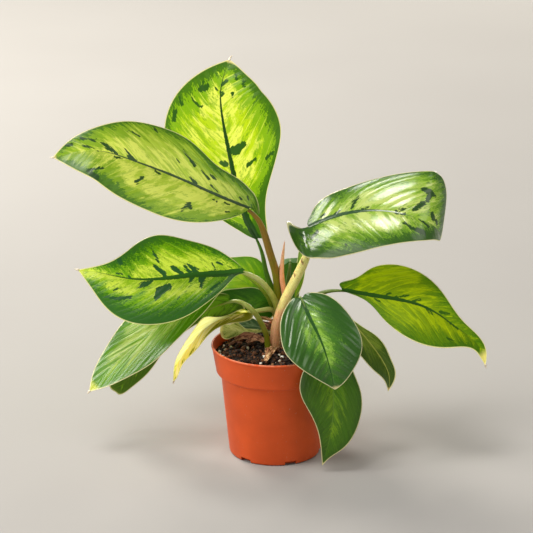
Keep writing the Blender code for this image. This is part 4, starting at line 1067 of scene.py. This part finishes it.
def streaked_body(n, entry, mosaic):
    """The blade's inner colours: pale streaks, more where it glows, and green mottles in from the margin."""
    near_rib = n.rest(n.step(n.size(mosaic.marks["Z"]), 3.0, 26.0))
    bright = n.weigh((mosaic.clouds(1.2, 0.8, 17.0), 1.0), (mosaic.grains, 0.4), (near_rib, 0.05),
                     (mosaic.glow, 0.14))
    colour = n.mix(n.times(n.step(bright, -0.02, 0.12), entry["Streaks"]), entry["Body"], entry["Pale"])
    mottled = n.weigh((mosaic.patches, 46.0), (mosaic.teeth, 20.0), (mosaic.grains, 34.0),
                      (mosaic.glow, -12.0))
    inner = n.plus(n.plus(mosaic.marks["Y"], entry["Reach"]), mottled)
    colour = n.mix(n.times(n.step(inner, -5.5, -3.5), 0.5), colour, entry["Green"])
    colour = n.mix(n.times(n.step(inner, -0.6, 0.8), 0.9), colour, entry["Green"])
    flecks = n.step(n.weigh((mosaic.clouds(2.0, 1.1, 11.0), 1.0), (mosaic.grains, 0.5)), 0.04, 0.10)
    return n.mix(n.times(n.times(flecks, entry["Streaks"]), 0.7), colour, entry["Green"])


def dark_masks(n, mosaic):
    """Masks of the dark margin, the dark strokes and the midrib: smooth steps of a depth plus noise."""
    ragged = n.weigh((mosaic.patches, 14.0), (mosaic.teeth, 18.0), (mosaic.grains, 26.0), (mosaic.glow, -6.0))
    edge = n.step(n.plus(mosaic.marks["Y"], ragged), -0.3, 0.5)
    ragged = n.weigh((mosaic.grain(4.5, 2.6, 2.0), 5.0), (mosaic.chance, 0.5))
    mark = n.step(n.plus(mosaic.marks["X"], ragged), -0.15, 0.25)
    half_width = n.times(mosaic.edges["Y"], n.plus(1.0, n.times(mosaic.teeth, 0.9)))
    rib = n.step(n.minus(half_width, n.size(mosaic.marks["Z"])), -0.2, 0.25)
    return edge, mark, n.times(rib, n.step(mosaic.edges["Y"], 0.02, 0.2))


def variegation_group():
    """Leaf colouring: a streaked body, green mottles, a ragged dark margin, a dark midrib and dark marks.

    The colours lie over one another in that order, under the pale tip and a thin pale line at the margin,
    which is partly the blade's pale edge and partly painted rim light.
    """
    green = (0.1, 0.3, 0.05, 1.0)
    vectors = [(label, "Vector", None) for label in ("Blade", "Marks", "Edges", "Glow")]
    colours = [(label, "Color", green) for label in ("Pale", "Body", "Green", "Edge", "Dark", "Rib", "Tip")]
    defaults = {"Reach": 8.0, "Streaks": 0.5, "Speckle": 0.5, "Seed": 0.0}
    numbers = [(label, "Float", default) for label, default in defaults.items()]
    group, n, entry, leave = new_group("leaf variegation", vectors + colours + numbers,
                                       [("Color", "Color"), ("Dark", "Float")])
    mosaic = Mosaic(n, entry)
    colour = streaked_body(n, entry, mosaic)
    edge, mark, rib = dark_masks(n, mosaic)
    deep = n.plus(mosaic.marks["Y"], n.weigh((mosaic.clouds(2.2, 1.2, 31.0), 24.0), (mosaic.grains, 22.0)))
    deep = n.times(n.step(deep, 3.0, 8.0), 0.5)
    colour = n.mix(edge, colour, n.mix(deep, entry["Edge"], entry["Dark"]))
    freckles = n.step(n.plus(mosaic.chance, mosaic.clouds(1.4, 1.4, 23.0)), 0.47, 0.5)
    colour = n.mix(n.times(freckles, n.times(entry["Speckle"], 0.6)), colour, entry["Edge"])
    colour = n.mix(mark, colour, entry["Dark"])
    colour = n.mix(rib, colour, entry["Rib"])
    colour = n.mix(mosaic.edges["Z"], colour, entry["Tip"])
    # A thin pale line along the margin: partly the blade's pale edge, partly painted rim light
    line = n.rest(n.step(mosaic.edges["X"], 0.35, 1.0))
    line = n.times(line, n.step(n.split(entry["Glow"])["Y"], 0.03, 0.1))
    n.join(n.mix(n.times(line, 0.9), colour, MARGIN_LINE), leave["Color"])
    n.join(n.math("MAXIMUM", n.math("MAXIMUM", edge, mark), rib), leave["Dark"])
    return group


def vein_group():
    """Fine relief, a thin groove at every lateral vein and fine noise between them, and the veins' mask."""
    group, n, entry, leave = new_group(
        "leaf veins",
        [("Blade", "Vector", None), ("Gap", "Float", 0.8), ("Seed", "Float", 0.0)],
        [("Height", "Float"), ("Line", "Float")])
    blade, seed = n.split(entry["Blade"]), entry["Seed"]
    turn = n.math("DIVIDE", blade["X"], entry["Gap"])
    off_line = n.size(n.minus(n.math("FRACT", n.plus(turn, 0.5)), 0.5))
    line = n.rest(n.step(off_line, 0.01, 0.075))
    fade = n.step(n.noise_at(blade["X"], blade["Y"], seed, (0.9, 2.5)), 0.35, 0.6)
    fade = n.times(fade, n.rest(n.step(n.size(blade["Y"]), 0.55, 0.95)))
    fine = n.noise_at(blade["X"], blade["Y"], seed, (9.0, 22.0), 3.0, 0.6)
    n.join(n.minus(n.times(fine, 0.5), n.times(line, 0.35)), leave["Height"])
    n.join(n.times(line, fade), leave["Line"])
    return group


def start_material(name):
    """A material with an empty tree, its short node ways and its output."""
    material = bpy.data.materials.new(name)
    material.use_nodes = True
    material.node_tree.nodes.clear()
    n = Nodes(material.node_tree)
    return material, n, n.add("ShaderNodeOutputMaterial").inputs["Surface"]


def leaf_material(name, look, groups, through_light):
    """A blade's skin: variegated and glossy above, paler and duller below, with light coming through it."""
    material, n, surface = start_material(name + " skin")
    blade = n.attribute("blade")
    colours = {key.capitalize(): screen(getattr(look, key))
               for key in ("pale", "body", "green", "edge", "dark", "rib", "tip")}
    pattern = n.add("ShaderNodeGroup", node_tree=groups["variegation"], inputs={
        "Blade": blade, "Marks": n.attribute("marks"), "Edges": n.attribute("edges"),
        "Glow": n.attribute("glow"), **colours, "Reach": look.reach, "Streaks": look.streaks,
        "Speckle": look.speckle, "Seed": look.seed * 3.7}).outputs
    veins = n.add("ShaderNodeGroup", node_tree=groups["veins"], inputs={
        "Blade": blade, "Gap": look.vein_gap / 10, "Seed": look.seed * 1.9}).outputs
    under = n.split(blade)["Z"]
    light_line = n.times(n.times(veins["Line"], n.rest(pattern["Dark"])), look.vein_light)
    colour = n.mix(light_line, pattern["Color"], colours["Pale"])
    paler = (*np.multiply(colours["Body"][:3], 1.2), 1.0)
    colour = n.mix(n.times(under, 0.35), colour, paler)
    skin = n.add("ShaderNodeBsdfPrincipled", {
        "Base Color": colour, "Roughness": n.plus(look.gloss, n.times(under, 0.2)),
        "Normal": n.bump(veins["Height"], 0.25, 0.0006),
        "Specular IOR Level": SHINE - SHINE_FALL * min(look.gloss, DULL)})
    lit = n.add("ShaderNodeBsdfTranslucent", {"Color": n.mix(1.0, colour, (1.0, 1.0, 0.6, 1.0), "MULTIPLY")})
    share = through_light * look.through
    body = n.add("ShaderNodeMixShader", {0: share, 1: skin.outputs[0], 2: lit.outputs[0]})
    inside = n.add("ShaderNodeBsdfTransparent")
    back = n.add("ShaderNodeNewGeometry").outputs["Backfacing"]
    whole = n.add("ShaderNodeMixShader", {0: back, 1: body.outputs[0], 2: inside.outputs[0]})
    n.join(whole.outputs[0], surface)
    return material


def stalk_material(name, foot, top, gloss=0.38):
    """A stalk's skin: its colour turns from foot to top, with fine lines along it and a slight mottle."""
    material, n, surface = start_material(name + " skin")
    place, where = n.split(n.attribute("stalk")), n.place()
    blotches = n.minus(n.noise(where, 90.0, 2.0), 0.5)
    share = n.step(n.plus(place["X"], n.times(blotches, 0.5)), 0.42, 0.75)
    colour = n.mix(share, screen(foot), screen(top))
    turn = n.times(place["Y"], 2 * math.pi)
    x, y, z = n.math("SINE", turn), n.math("COSINE", turn), n.times(place["Z"], 0.35)
    lines = n.noise_at(x, y, z, (6.0, 6.0), 3.0)
    shade = n.weigh((lines, 0.7), (n.noise(where, 420.0, 3.0), 0.5))
    darker = n.mix(1.0, colour, (0.80, 0.80, 0.60, 1.0), "MULTIPLY")
    colour = n.mix(n.step(shade, 0.45, 0.8), darker, colour)
    freckles = n.times(n.step(n.noise(where, 620.0, 1.0), 0.68, 0.72), 0.5)
    colour = n.mix(freckles, colour, (0.20, 0.10, 0.03, 1.0))
    skin = n.add("ShaderNodeBsdfPrincipled", {
        "Base Color": colour, "Roughness": gloss, "Normal": n.bump(lines, 0.3, 0.0006),
        "Specular IOR Level": 0.4, "Subsurface Weight": 0.12, "Subsurface Scale": 0.004})
    n.join(skin.outputs[0], surface)
    return material


def plastic_material(colour):
    """Satin pot plastic: faintly cloudy, finely grained, with specks of dust and a painted rim highlight."""
    material, n, surface = start_material("pot plastic")
    place, base = n.place(), (*colour, 1.0)
    cloud = n.noise(place, 28.0, 3.0)
    darker = n.mix(1.0, base, (0.86, 0.84, 0.84, 1.0), "MULTIPLY")
    tone = n.mix(n.step(cloud, 0.3, 0.7), darker, base)
    specks = n.times(n.step(n.noise(place, 620.0, 1.0), 0.74, 0.78), 0.35)
    tone = n.mix(specks, tone, (0.6, 0.42, 0.32, 1.0))
    # Painted highlight: the top of the rim is mixed paler, broken up by noise
    rim_highlight = n.times(n.step(n.split(place)["Z"], POT_HEIGHT - 0.0016, POT_HEIGHT - 0.0004),
                   n.step(n.noise(place, 160.0, 2.0), 0.35, 0.6))
    tone = n.mix(n.times(rim_highlight, 0.35), tone, (0.84, 0.42, 0.26, 1.0))
    skin = n.add("ShaderNodeBsdfPrincipled", {
        "Base Color": tone, "Roughness": n.plus(0.4, n.times(cloud, 0.16)),
        "Normal": n.bump(n.noise(place, 1500.0, 2.0), 0.12, 0.0002),
        "Specular IOR Level": 0.22, "Subsurface Weight": 0.06, "Subsurface Scale": 0.003})
    n.join(skin.outputs[0], surface)
    return material


def earth_material(name, dark, light, rough=0.9, scale=420.0, low=0.3, high=0.75):
    """Crumbly matter: two tones mixed by noise, shifted for each piece by its tone, with a rough relief."""
    material, n, surface = start_material(name)
    tone = n.minus(n.split(n.attribute("tone"))["X"], 0.5)
    cloud = n.noise(n.place(), scale, 4.0, 0.65)
    colour = n.mix(n.step(n.plus(cloud, n.times(tone, 0.5)), low, high), screen(dark), screen(light))
    skin = n.add("ShaderNodeBsdfPrincipled", {
        "Base Color": colour, "Roughness": rough, "Normal": n.bump(cloud, 0.6, 0.0008)})
    n.join(skin.outputs[0], surface)
    return material


def floor_material():
    """The floor's paint: two near pale tones clouded into each other, with no shine."""
    material, n, surface = start_material("floor paint")
    colour = n.mix(n.noise(n.place(), 3.0, 2.0), *FLOOR_TONES)
    paint = n.add("ShaderNodeBsdfPrincipled", {
        "Base Color": colour, "Roughness": 0.9, "Specular IOR Level": 0.0})
    n.join(paint.outputs[0], surface)
    return material


# The pot and its filling


def pot_profile(settings):
    """The pot's outline as (radius, height), from the axis under the base round to the axis inside."""
    rim, wall, step = settings.rim_radius, settings.wall, COLLAR_BOTTOM
    return [
        (AXIS_RADIUS, 0), (BASE_RADIUS - 0.012, 0), (BASE_RADIUS - 0.003, 0), (BASE_RADIUS - 0.0016, 0.0002),
        (BASE_RADIUS - 0.0009, 0.0006), (BASE_RADIUS - 0.0003, 0.0014), (BASE_RADIUS, 0.0026),
        (BODY_TOP_RADIUS - 0.0002, step - 0.003), (BODY_TOP_RADIUS, step - 0.0023),
        (BODY_TOP_RADIUS + 0.0006, step - 0.0018), (COLLAR_LOW_RADIUS - 0.0022, step - 0.0012),
        (COLLAR_LOW_RADIUS - 0.0012, step - 0.0008), (COLLAR_LOW_RADIUS - 0.0005, step - 0.0003),
        (COLLAR_LOW_RADIUS - 0.0001, step + 0.0005), (COLLAR_LOW_RADIUS, step + 0.0014),
        (rim - 0.0007, POT_HEIGHT - 0.0031), (rim - 0.0006, POT_HEIGHT - 0.0026),
        (rim - 0.0001, POT_HEIGHT - 0.0022), (rim, POT_HEIGHT - 0.0018), (rim, POT_HEIGHT - 0.0009),
        (rim - 0.0003, POT_HEIGHT - 0.0003), (rim - 0.0007, POT_HEIGHT), (rim - 0.0011, POT_HEIGHT),
        (rim - wall, POT_HEIGHT - 0.0003), (rim - wall - 0.0003, POT_HEIGHT - 0.0012),
        (COLLAR_LOW_RADIUS - wall, step + 0.0026), (COLLAR_LOW_RADIUS - wall - 0.0008, step + 0.0014),
        (BODY_TOP_RADIUS - wall + 0.0006, step + 0.0002), (BODY_TOP_RADIUS - wall, step - 0.001),
        (BASE_RADIUS - wall, FLOOR + 0.0016), (BASE_RADIUS - wall - 0.0014, FLOOR), (AXIS_RADIUS, FLOOR),
    ]


def turned_rings(profile, steps):
    """Rings of points: a profile of (radius, height) turned round the axis at evenly spaced angles."""
    profile = np.array(profile)[:, None]
    angles = np.linspace(0, 2 * math.pi, steps, endpoint=False)[None]
    heights = np.broadcast_to(profile[..., 1], (len(profile), steps))
    return np.stack([profile[..., 0] * np.cos(angles), profile[..., 0] * np.sin(angles), heights], -1)


def make_pot(settings):
    """The pot: its profile turned round the axis, with the drainage notches cut out."""
    profile = pot_profile(settings)
    ends = np.array([[0, 0, profile[0][1]], [0, 0, profile[-1][1]]])
    pot = make_rings("nursery_pot", turned_rings(profile, POT_SIDES), ends)
    cut_notches(pot)
    return pot


def notch_boxes():
    """The notches' cutters: one box's corners, turned to evenly spaced places round the bottom corner."""
    angle = NOTCH_FIRST_ANGLE + np.arange(NOTCHES) * 2 * math.pi / NOTCHES
    flat = np.zeros(NOTCHES)
    outward = np.stack([np.cos(angle), np.sin(angle), flat], -1)[:, None]
    across = np.stack([-np.sin(angle), np.cos(angle), flat], -1)[:, None]
    height, reach, half = (axis.reshape(-1, 1) for axis in np.meshgrid(
        NOTCH_HEIGHTS, NOTCH_REACH, (-0.5, 0.5), indexing="ij"))
    corners = outward * reach + across * half * NOTCH_WIDTH + height * np.array([0, 0, 1])
    faces = np.array([(0, 1, 3, 2), (4, 6, 7, 5), (0, 4, 5, 1), (2, 3, 7, 6), (0, 2, 6, 4), (1, 5, 7, 3)])
    return corners.reshape(-1, 3), (faces[None] + 8 * np.arange(NOTCHES)[:, None, None]).reshape(-1, 4)


def cut_notches(pot):
    """Cuts the drainage notches out of the bottom corner, evenly round it."""
    cutter = make_mesh("notch_cutter", *notch_boxes())
    modifier = pot.modifiers.new("notches", "BOOLEAN")
    modifier.operation = "DIFFERENCE"
    modifier.object = cutter
    modifier.solver = "EXACT"
    evaluated = pot.evaluated_get(bpy.context.evaluated_depsgraph_get())
    mesh = bpy.data.meshes.new_from_object(evaluated)
    pot.modifiers.clear()
    pot.data = mesh
    bpy.data.objects.remove(cutter)
    mesh.shade_smooth()
    mesh.set_sharp_from_angle(angle=POT_SHARP_ANGLE)


def collar_inner_radius(height, settings):
    """The pot's inner radius at a height inside the collar."""
    share = (height - COLLAR_BOTTOM) / (POT_HEIGHT - COLLAR_BOTTOM)
    return COLLAR_LOW_RADIUS - settings.wall + share * (settings.rim_radius - COLLAR_LOW_RADIUS)


def soil_height(x, y, settings):
    """The soil's top: a low mound with rounded lumps of two sizes, as in the part, and finer crumbs on them.

    The mound falls with the square of the radius, the lumps are products of waves, and the crumbs are noise.
    """
    mound = SOIL_MOUND * (1 - (x ** 2 + y ** 2) / settings.rim_radius ** 2)
    coarse = np.sin(x * 290 + 1.3) * np.cos(y * 330 + 0.4)
    fine = np.sin(x * 610 - y * 450) * np.cos(y * 720 + x * 260)
    lumps = value_noise(x, y, 0.0042, 5) - 0.5
    crumbs = np.abs(value_noise(x, y, 0.0019, 6) - 0.5) + 0.5 * np.abs(value_noise(x, y, 0.0009, 7) - 0.5)
    return (SOIL_EDGE_HEIGHT + mound + SOIL_LUMP * (0.6 * coarse + 0.4 * fine)
            + SOIL_FINE_LUMP * lumps + SOIL_CRUMB * (crumbs - 0.3))


def make_soil_body(settings):
    """The soil: a polar grid under its lumpy top, down the pot's inside to its floor."""
    steps, rings = 260, 110
    edge = collar_inner_radius(SOIL_EDGE_HEIGHT, settings) - 0.0001
    radius = edge * np.linspace(0.006, 1, rings)
    inset = settings.wall + 2 * GAP
    side = [(COLLAR_LOW_RADIUS - inset, COLLAR_BOTTOM + 0.003),
            (BODY_TOP_RADIUS - inset, COLLAR_BOTTOM - 0.001),
            (BASE_RADIUS - inset, FLOOR + 0.002), (0.001, FLOOR + GAP)]
    top = np.stack([radius, np.zeros(rings)], -1)
    points = turned_rings(np.concatenate([top, side]), steps)
    x, y = points[:rings, :, 0], points[:rings, :, 1]
    fall = smooth_step(radius / edge, 0.9, 1.0)[:, None]
    points[:rings, :, 2] = soil_height(x, y, settings) - SOIL_EDGE_DIP * fall
    ends = np.array([[0, 0, points[0, :, 2].mean()], [0, 0, FLOOR + GAP]])
    tone = np.full((points.shape[0] * steps + 2, 3), 0.5)
    return make_rings("soil_bed", points, ends, {"tone": tone})


def lump_template():
    """An icosahedron's directions and faces."""
    golden = (1 + math.sqrt(5)) / 2
    points = np.array([(-1, golden, 0), (1, golden, 0), (-1, -golden, 0), (1, -golden, 0), (0, -1, golden),
                       (0, 1, golden), (0, -1, -golden), (0, 1, -golden), (golden, 0, -1), (golden, 0, 1),
                       (-golden, 0, -1), (-golden, 0, 1)])
    faces = np.array([(0, 11, 5), (0, 5, 1), (0, 1, 7), (0, 7, 10), (0, 10, 11), (1, 5, 9), (5, 11, 4),
                      (11, 10, 2), (10, 7, 6), (7, 1, 8), (3, 9, 4), (3, 4, 2), (3, 2, 6), (3, 6, 8),
                      (3, 8, 9), (4, 9, 5), (2, 4, 11), (6, 2, 10), (8, 6, 7), (9, 8, 1)])
    return unit(points), faces


def scatter(name, count, settings, sizes, stretch, seed, sink, jag):
    """Loose grains on the soil: an icosahedron with random corners, size and turn for each of them.

    Small grains are more common than large ones, by a power of a random share.
    """
    rng = np.random.default_rng(seed)
    directions, faces = lump_template()
    radius = (collar_inner_radius(SOIL_EDGE_HEIGHT, settings) - 0.003) * np.sqrt(rng.random(count))
    angle = rng.random(count) * 2 * math.pi
    x, y = radius * np.cos(angle), radius * np.sin(angle)
    size = sizes[0] + (sizes[1] - sizes[0]) * rng.random(count) ** 2.2
    z = soil_height(x, y, settings) + size * (stretch[2] - sink)
    corners = directions[None] * (1 + jag * (rng.random((count, len(directions), 1)) - 0.5) * 2)
    corners = corners * np.array(stretch) * size[:, None, None]
    axis = unit(rng.normal(size=(count, 3)) * np.array([0.35, 0.35, 1.0]))
    turn = rng.random(count)[:, None, None] * 2 * math.pi
    along = np.einsum("nvk,nk->nv", corners, axis)[..., None] * axis[:, None]
    corners = along + (corners - along) * np.cos(turn) + np.cross(axis[:, None], corners) * np.sin(turn)
    points = corners + np.stack([x, y, z], -1)[:, None]
    numbers = faces[None] + (np.arange(count) * len(directions))[:, None, None]
    tone = np.repeat(rng.random(count), len(directions))[:, None] * np.ones(3)
    return make_mesh(name, points.reshape(-1, 3), None, numbers.reshape(-1, 3), {"tone": tone})


def ribbon(name, strip, seed, thickness=0.0003):
    """A dry strip: a path with a curled cross-section that turns along it, and a crumpled edge.

    The cross-section is an arc of curl radians, roughened by smoothed random numbers, and the strip is a
    closed sheet of even thickness.
    """
    rng = np.random.default_rng(seed)
    rows, columns = 40, 12
    share = np.linspace(0, 1, rows)
    centres = curve_through(np.array(strip.route, float) * MM, share)[0]
    across, other = carried_frames(centres, (0.3, 0.2, 1.0))
    angle = (strip.twist * share)[:, None]
    side = np.cos(angle) * across + np.sin(angle) * other
    face = -np.sin(angle) * across + np.cos(angle) * other
    width = at_shares(strip.widths, share)[:, None] * MM
    bend = np.linspace(-0.5, 0.5, columns) * strip.curl
    ruffle = rng.normal(size=(rows, columns))
    for _ in range(3):
        ruffle = (ruffle + np.roll(ruffle, 1, 0) + np.roll(ruffle, -1, 0)) / 3
    out = width * (np.sin(bend) / strip.curl)[None]
    lift = width * (((1 - np.cos(bend)) / strip.curl)[None] + 0.12 * ruffle)
    middle = centres[:, None] + side[:, None] * out[..., None] + face[:, None] * lift[..., None]
    offset = sheet_normals(middle) * thickness / 2
    points = np.concatenate([(middle + offset).reshape(-1, 3), (middle - offset).reshape(-1, 3)])
    tone = np.tile(0.5 + 1.6 * ruffle.reshape(-1, 1), (2, 3))
    return make_mesh(name, points, sheet_faces(rows, columns), attributes={"tone": tone})


# Operators


class PLANT_OT_pot(bpy.types.Operator):
    """Build the pot with its collar, rim and drainage notches"""

    bl_idname = "plant.pot"
    bl_label = "Pot"

    def execute(self, context):
        settings = context.scene.pot_settings
        dress(make_pot(settings), "pot", plastic_material(settings.colour))
        return {"FINISHED"}


class PLANT_OT_soil(bpy.types.Operator):
    """Build the soil with its crumbs, perlite and bark"""

    bl_idname = "plant.soil"
    bl_label = "Soil"

    def execute(self, context):
        settings = context.scene.pot_settings
        earth = earth_material("soil", (20, 9, 4), (92, 52, 26), low=0.4, high=0.9)
        dress(make_soil_body(settings), "soil", earth)
        crumb = earth_material("soil crumbs", (26, 12, 5), (150, 90, 48), scale=700.0, low=0.42, high=0.95)
        white = earth_material("perlite", (196, 186, 166), (244, 240, 230), 0.8, 900.0)
        brown = earth_material("bark", (84, 50, 28), (196, 144, 94), 0.85, 500.0)
        counts = {"soil_crumbs": settings.crumbs, "perlite": settings.perlite, "bark_chips": settings.bark}
        for (name, count), skin in zip(counts.items(), (crumb, white, brown)):
            dress(scatter(name, count, settings, *GRAINS[name]), None, skin)
        return {"FINISHED"}


class PLANT_OT_dry_sheaths(bpy.types.Operator):
    """Build the dried sheaths and the clump of old root on the soil"""

    bl_idname = "plant.dry_sheaths"
    bl_label = "Dry sheaths"

    def execute(self, context):
        tones = {"tan": earth_material("dry sheath", (150, 98, 60), (230, 190, 140), 0.7, 300.0),
                 "brown": earth_material("old sheath", (130, 84, 62), (206, 152, 120), 0.75, 300.0),
                 "pale": earth_material("torn skin", (196, 140, 92), (246, 222, 170), 0.6, 300.0)}
        for number, strip in enumerate(DRY_STRIPS):
            dress(ribbon(f"dry_strip_{number + 1}", strip, number), None, tones[strip.tone])
        return {"FINISHED"}


class PLANT_OT_stalks(bpy.types.Operator):
    """Build the crown, the stalks and the rolled new leaf"""

    bl_idname = "plant.stalks"
    bl_label = "Stalks"

    def execute(self, context):
        sides = context.scene.plant_settings.stalk_sides
        radii = np.array([CROWN.foot_radius, CROWN.top_radius]) * MM
        crown = tube("crown", np.array(CROWN.route) * MM, radii, sides)
        dress(crown, "stem", stalk_material("crown", CROWN.foot_colour, CROWN.top_colour))
        for leaf, stalk in STEM_STALKS.items():
            self.add_stalk(leaf, stalk, "stem", sides)
        for leaf, stalk in LONE_STALKS.items():
            self.add_stalk(leaf, stalk, leaf.replace("leaf", "stalk"), sides)
        spear = tube("new_leaf_spear", np.array(NEW_LEAF.route) * MM, np.array(NEW_LEAF_RADII) * MM, sides,
                     groove=NEW_LEAF_GROOVE)
        dress(spear, "new_leaf", stalk_material("new leaf", NEW_LEAF.foot_colour, NEW_LEAF.top_colour, 0.42))
        return {"FINISHED"}

    def add_stalk(self, leaf, stalk, node, sides):
        """A leaf's stalk: a grooved tube from under its blade down to its foot."""
        form = BladeForm(LEAVES[leaf])
        foot, top = stalk.foot_radius * MM, stalk.top_radius * MM
        radii = [top * 0.3, top, (stalk.foot_radius + stalk.top_radius) / 2 * MM, foot]
        route = stalk_route(stalk, form)[::-1]
        piece = tube(leaf.replace("leaf", "stalk"), route, radii, sides, form.up[0], STALK_GROOVE)
        dress(piece, node, stalk_material(piece.name, stalk.top_colour, stalk.foot_colour))


class PLANT_OT_leaves(bpy.types.Operator):
    """Build every leaf blade and the dry points at the tips"""

    bl_idname = "plant.leaves"
    bl_label = "Leaves"

    def execute(self, context):
        settings = context.scene.plant_settings
        groups = {"variegation": variegation_group(), "veins": vein_group()}
        for name, look in LOOKS.items():
            blade = make_blade(name, settings)
            dress(blade, name, leaf_material(name.replace("_", " "), look, groups, settings.through_light))
        dry = earth_material("dry tip", (190, 150, 100), (255, 248, 224), 0.6, 500.0, low=-0.1, high=0.45)
        for name, way in TIP_SPURS.items():
            dress(tip_spur(name, way), name, dry)
        return {"FINISHED"}


class PLANT_OT_stage(bpy.types.Operator):
    """Build the pale floor, the soft lights and the camera"""

    bl_idname = "plant.stage"
    bl_label = "Stage"

    def execute(self, context):
        half = FLOOR_HALF
        floor = make_mesh("floor", [(-half, -half, 0), (half, -half, 0), (half, half, 0), (-half, half, 0)],
                          [(0, 1, 2, 3)])
        floor.data.materials.append(floor_material())
        for name, (place, side, power, colour) in LIGHTS.items():
            self.add_light(name, place, side, power, colour)
        world = bpy.data.worlds.new("studio")
        world.use_nodes = True
        sky = world.node_tree.nodes["Background"].inputs
        sky["Color"].default_value = WORLD_COLOUR
        sky["Strength"].default_value = WORLD_STRENGTH
        context.scene.world = world
        context.scene.view_settings.view_transform = "Standard"
        self.add_camera()
        return {"FINISHED"}

    def add_light(self, name, place, side, power, colour):
        """A square soft light that looks at the plant's middle."""
        light = bpy.data.lights.new(name, "AREA")
        light.size = side
        light.energy = power
        light.color = colour
        thing = bpy.data.objects.new(name, light)
        thing.location = place
        aim = np.array(VIEW_TARGET) - np.array(place)
        level = math.hypot(aim[0], aim[1])
        thing.rotation_euler = (math.atan2(level, -aim[2]), 0, math.atan2(-aim[0], aim[1]))
        bpy.context.scene.collection.objects.link(thing)

    def add_camera(self):
        """The camera, far off in front of the plant and a little above it, with a long lens."""
        scene = bpy.context.scene
        camera = bpy.data.objects.new("view", bpy.data.cameras.new("view"))
        scene.collection.objects.link(camera)
        camera.data.sensor_width = SENSOR_WIDTH
        camera.data.lens = VIEW_LENS
        camera.data.clip_end = 30.0
        away = np.array([0, -math.cos(VIEW_ELEVATION), math.sin(VIEW_ELEVATION)]) * VIEW_DISTANCE
        camera.location = np.array(VIEW_TARGET) + away
        camera.rotation_euler = (math.pi / 2 - VIEW_ELEVATION, 0, 0)
        scene.camera = camera


STEPS = (PLANT_OT_pot, PLANT_OT_soil, PLANT_OT_dry_sheaths, PLANT_OT_stalks, PLANT_OT_leaves, PLANT_OT_stage)


class PLANT_PT_panel(bpy.types.Panel):
    """Lists the plant's settings and the steps that build it."""

    bl_label = "Potted homalomena"
    bl_idname = "PLANT_PT_panel"
    bl_space_type = "VIEW_3D"
    bl_region_type = "UI"
    bl_category = "Plant"

    def draw(self, context):
        for group in (context.scene.plant_settings, context.scene.pot_settings):
            for key in group.bl_rna.properties.keys():
                if key not in ("rna_type", "name"):
                    self.layout.prop(group, key)
        for step in STEPS:
            self.layout.operator(step.bl_idname)


CLASSES = (PlantSettings, PotSettings, *STEPS, PLANT_PT_panel)


def register():
    """Adds the classes and the scene's settings."""
    for item in CLASSES:
        bpy.utils.register_class(item)
    bpy.types.Scene.plant_settings = bpy.props.PointerProperty(type=PlantSettings)
    bpy.types.Scene.pot_settings = bpy.props.PointerProperty(type=PotSettings)


def unregister():
    """Removes the settings and the classes."""
    del bpy.types.Scene.pot_settings
    del bpy.types.Scene.plant_settings
    for item in reversed(CLASSES):
        bpy.utils.unregister_class(item)


def main():
    """Builds every piece in order."""
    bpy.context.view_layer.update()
    register()
    bpy.ops.plant.pot()
    bpy.ops.plant.soil()
    bpy.ops.plant.dry_sheaths()
    bpy.ops.plant.stalks()
    bpy.ops.plant.leaves()
    bpy.ops.plant.stage()


if __name__ == "__main__":
    main()
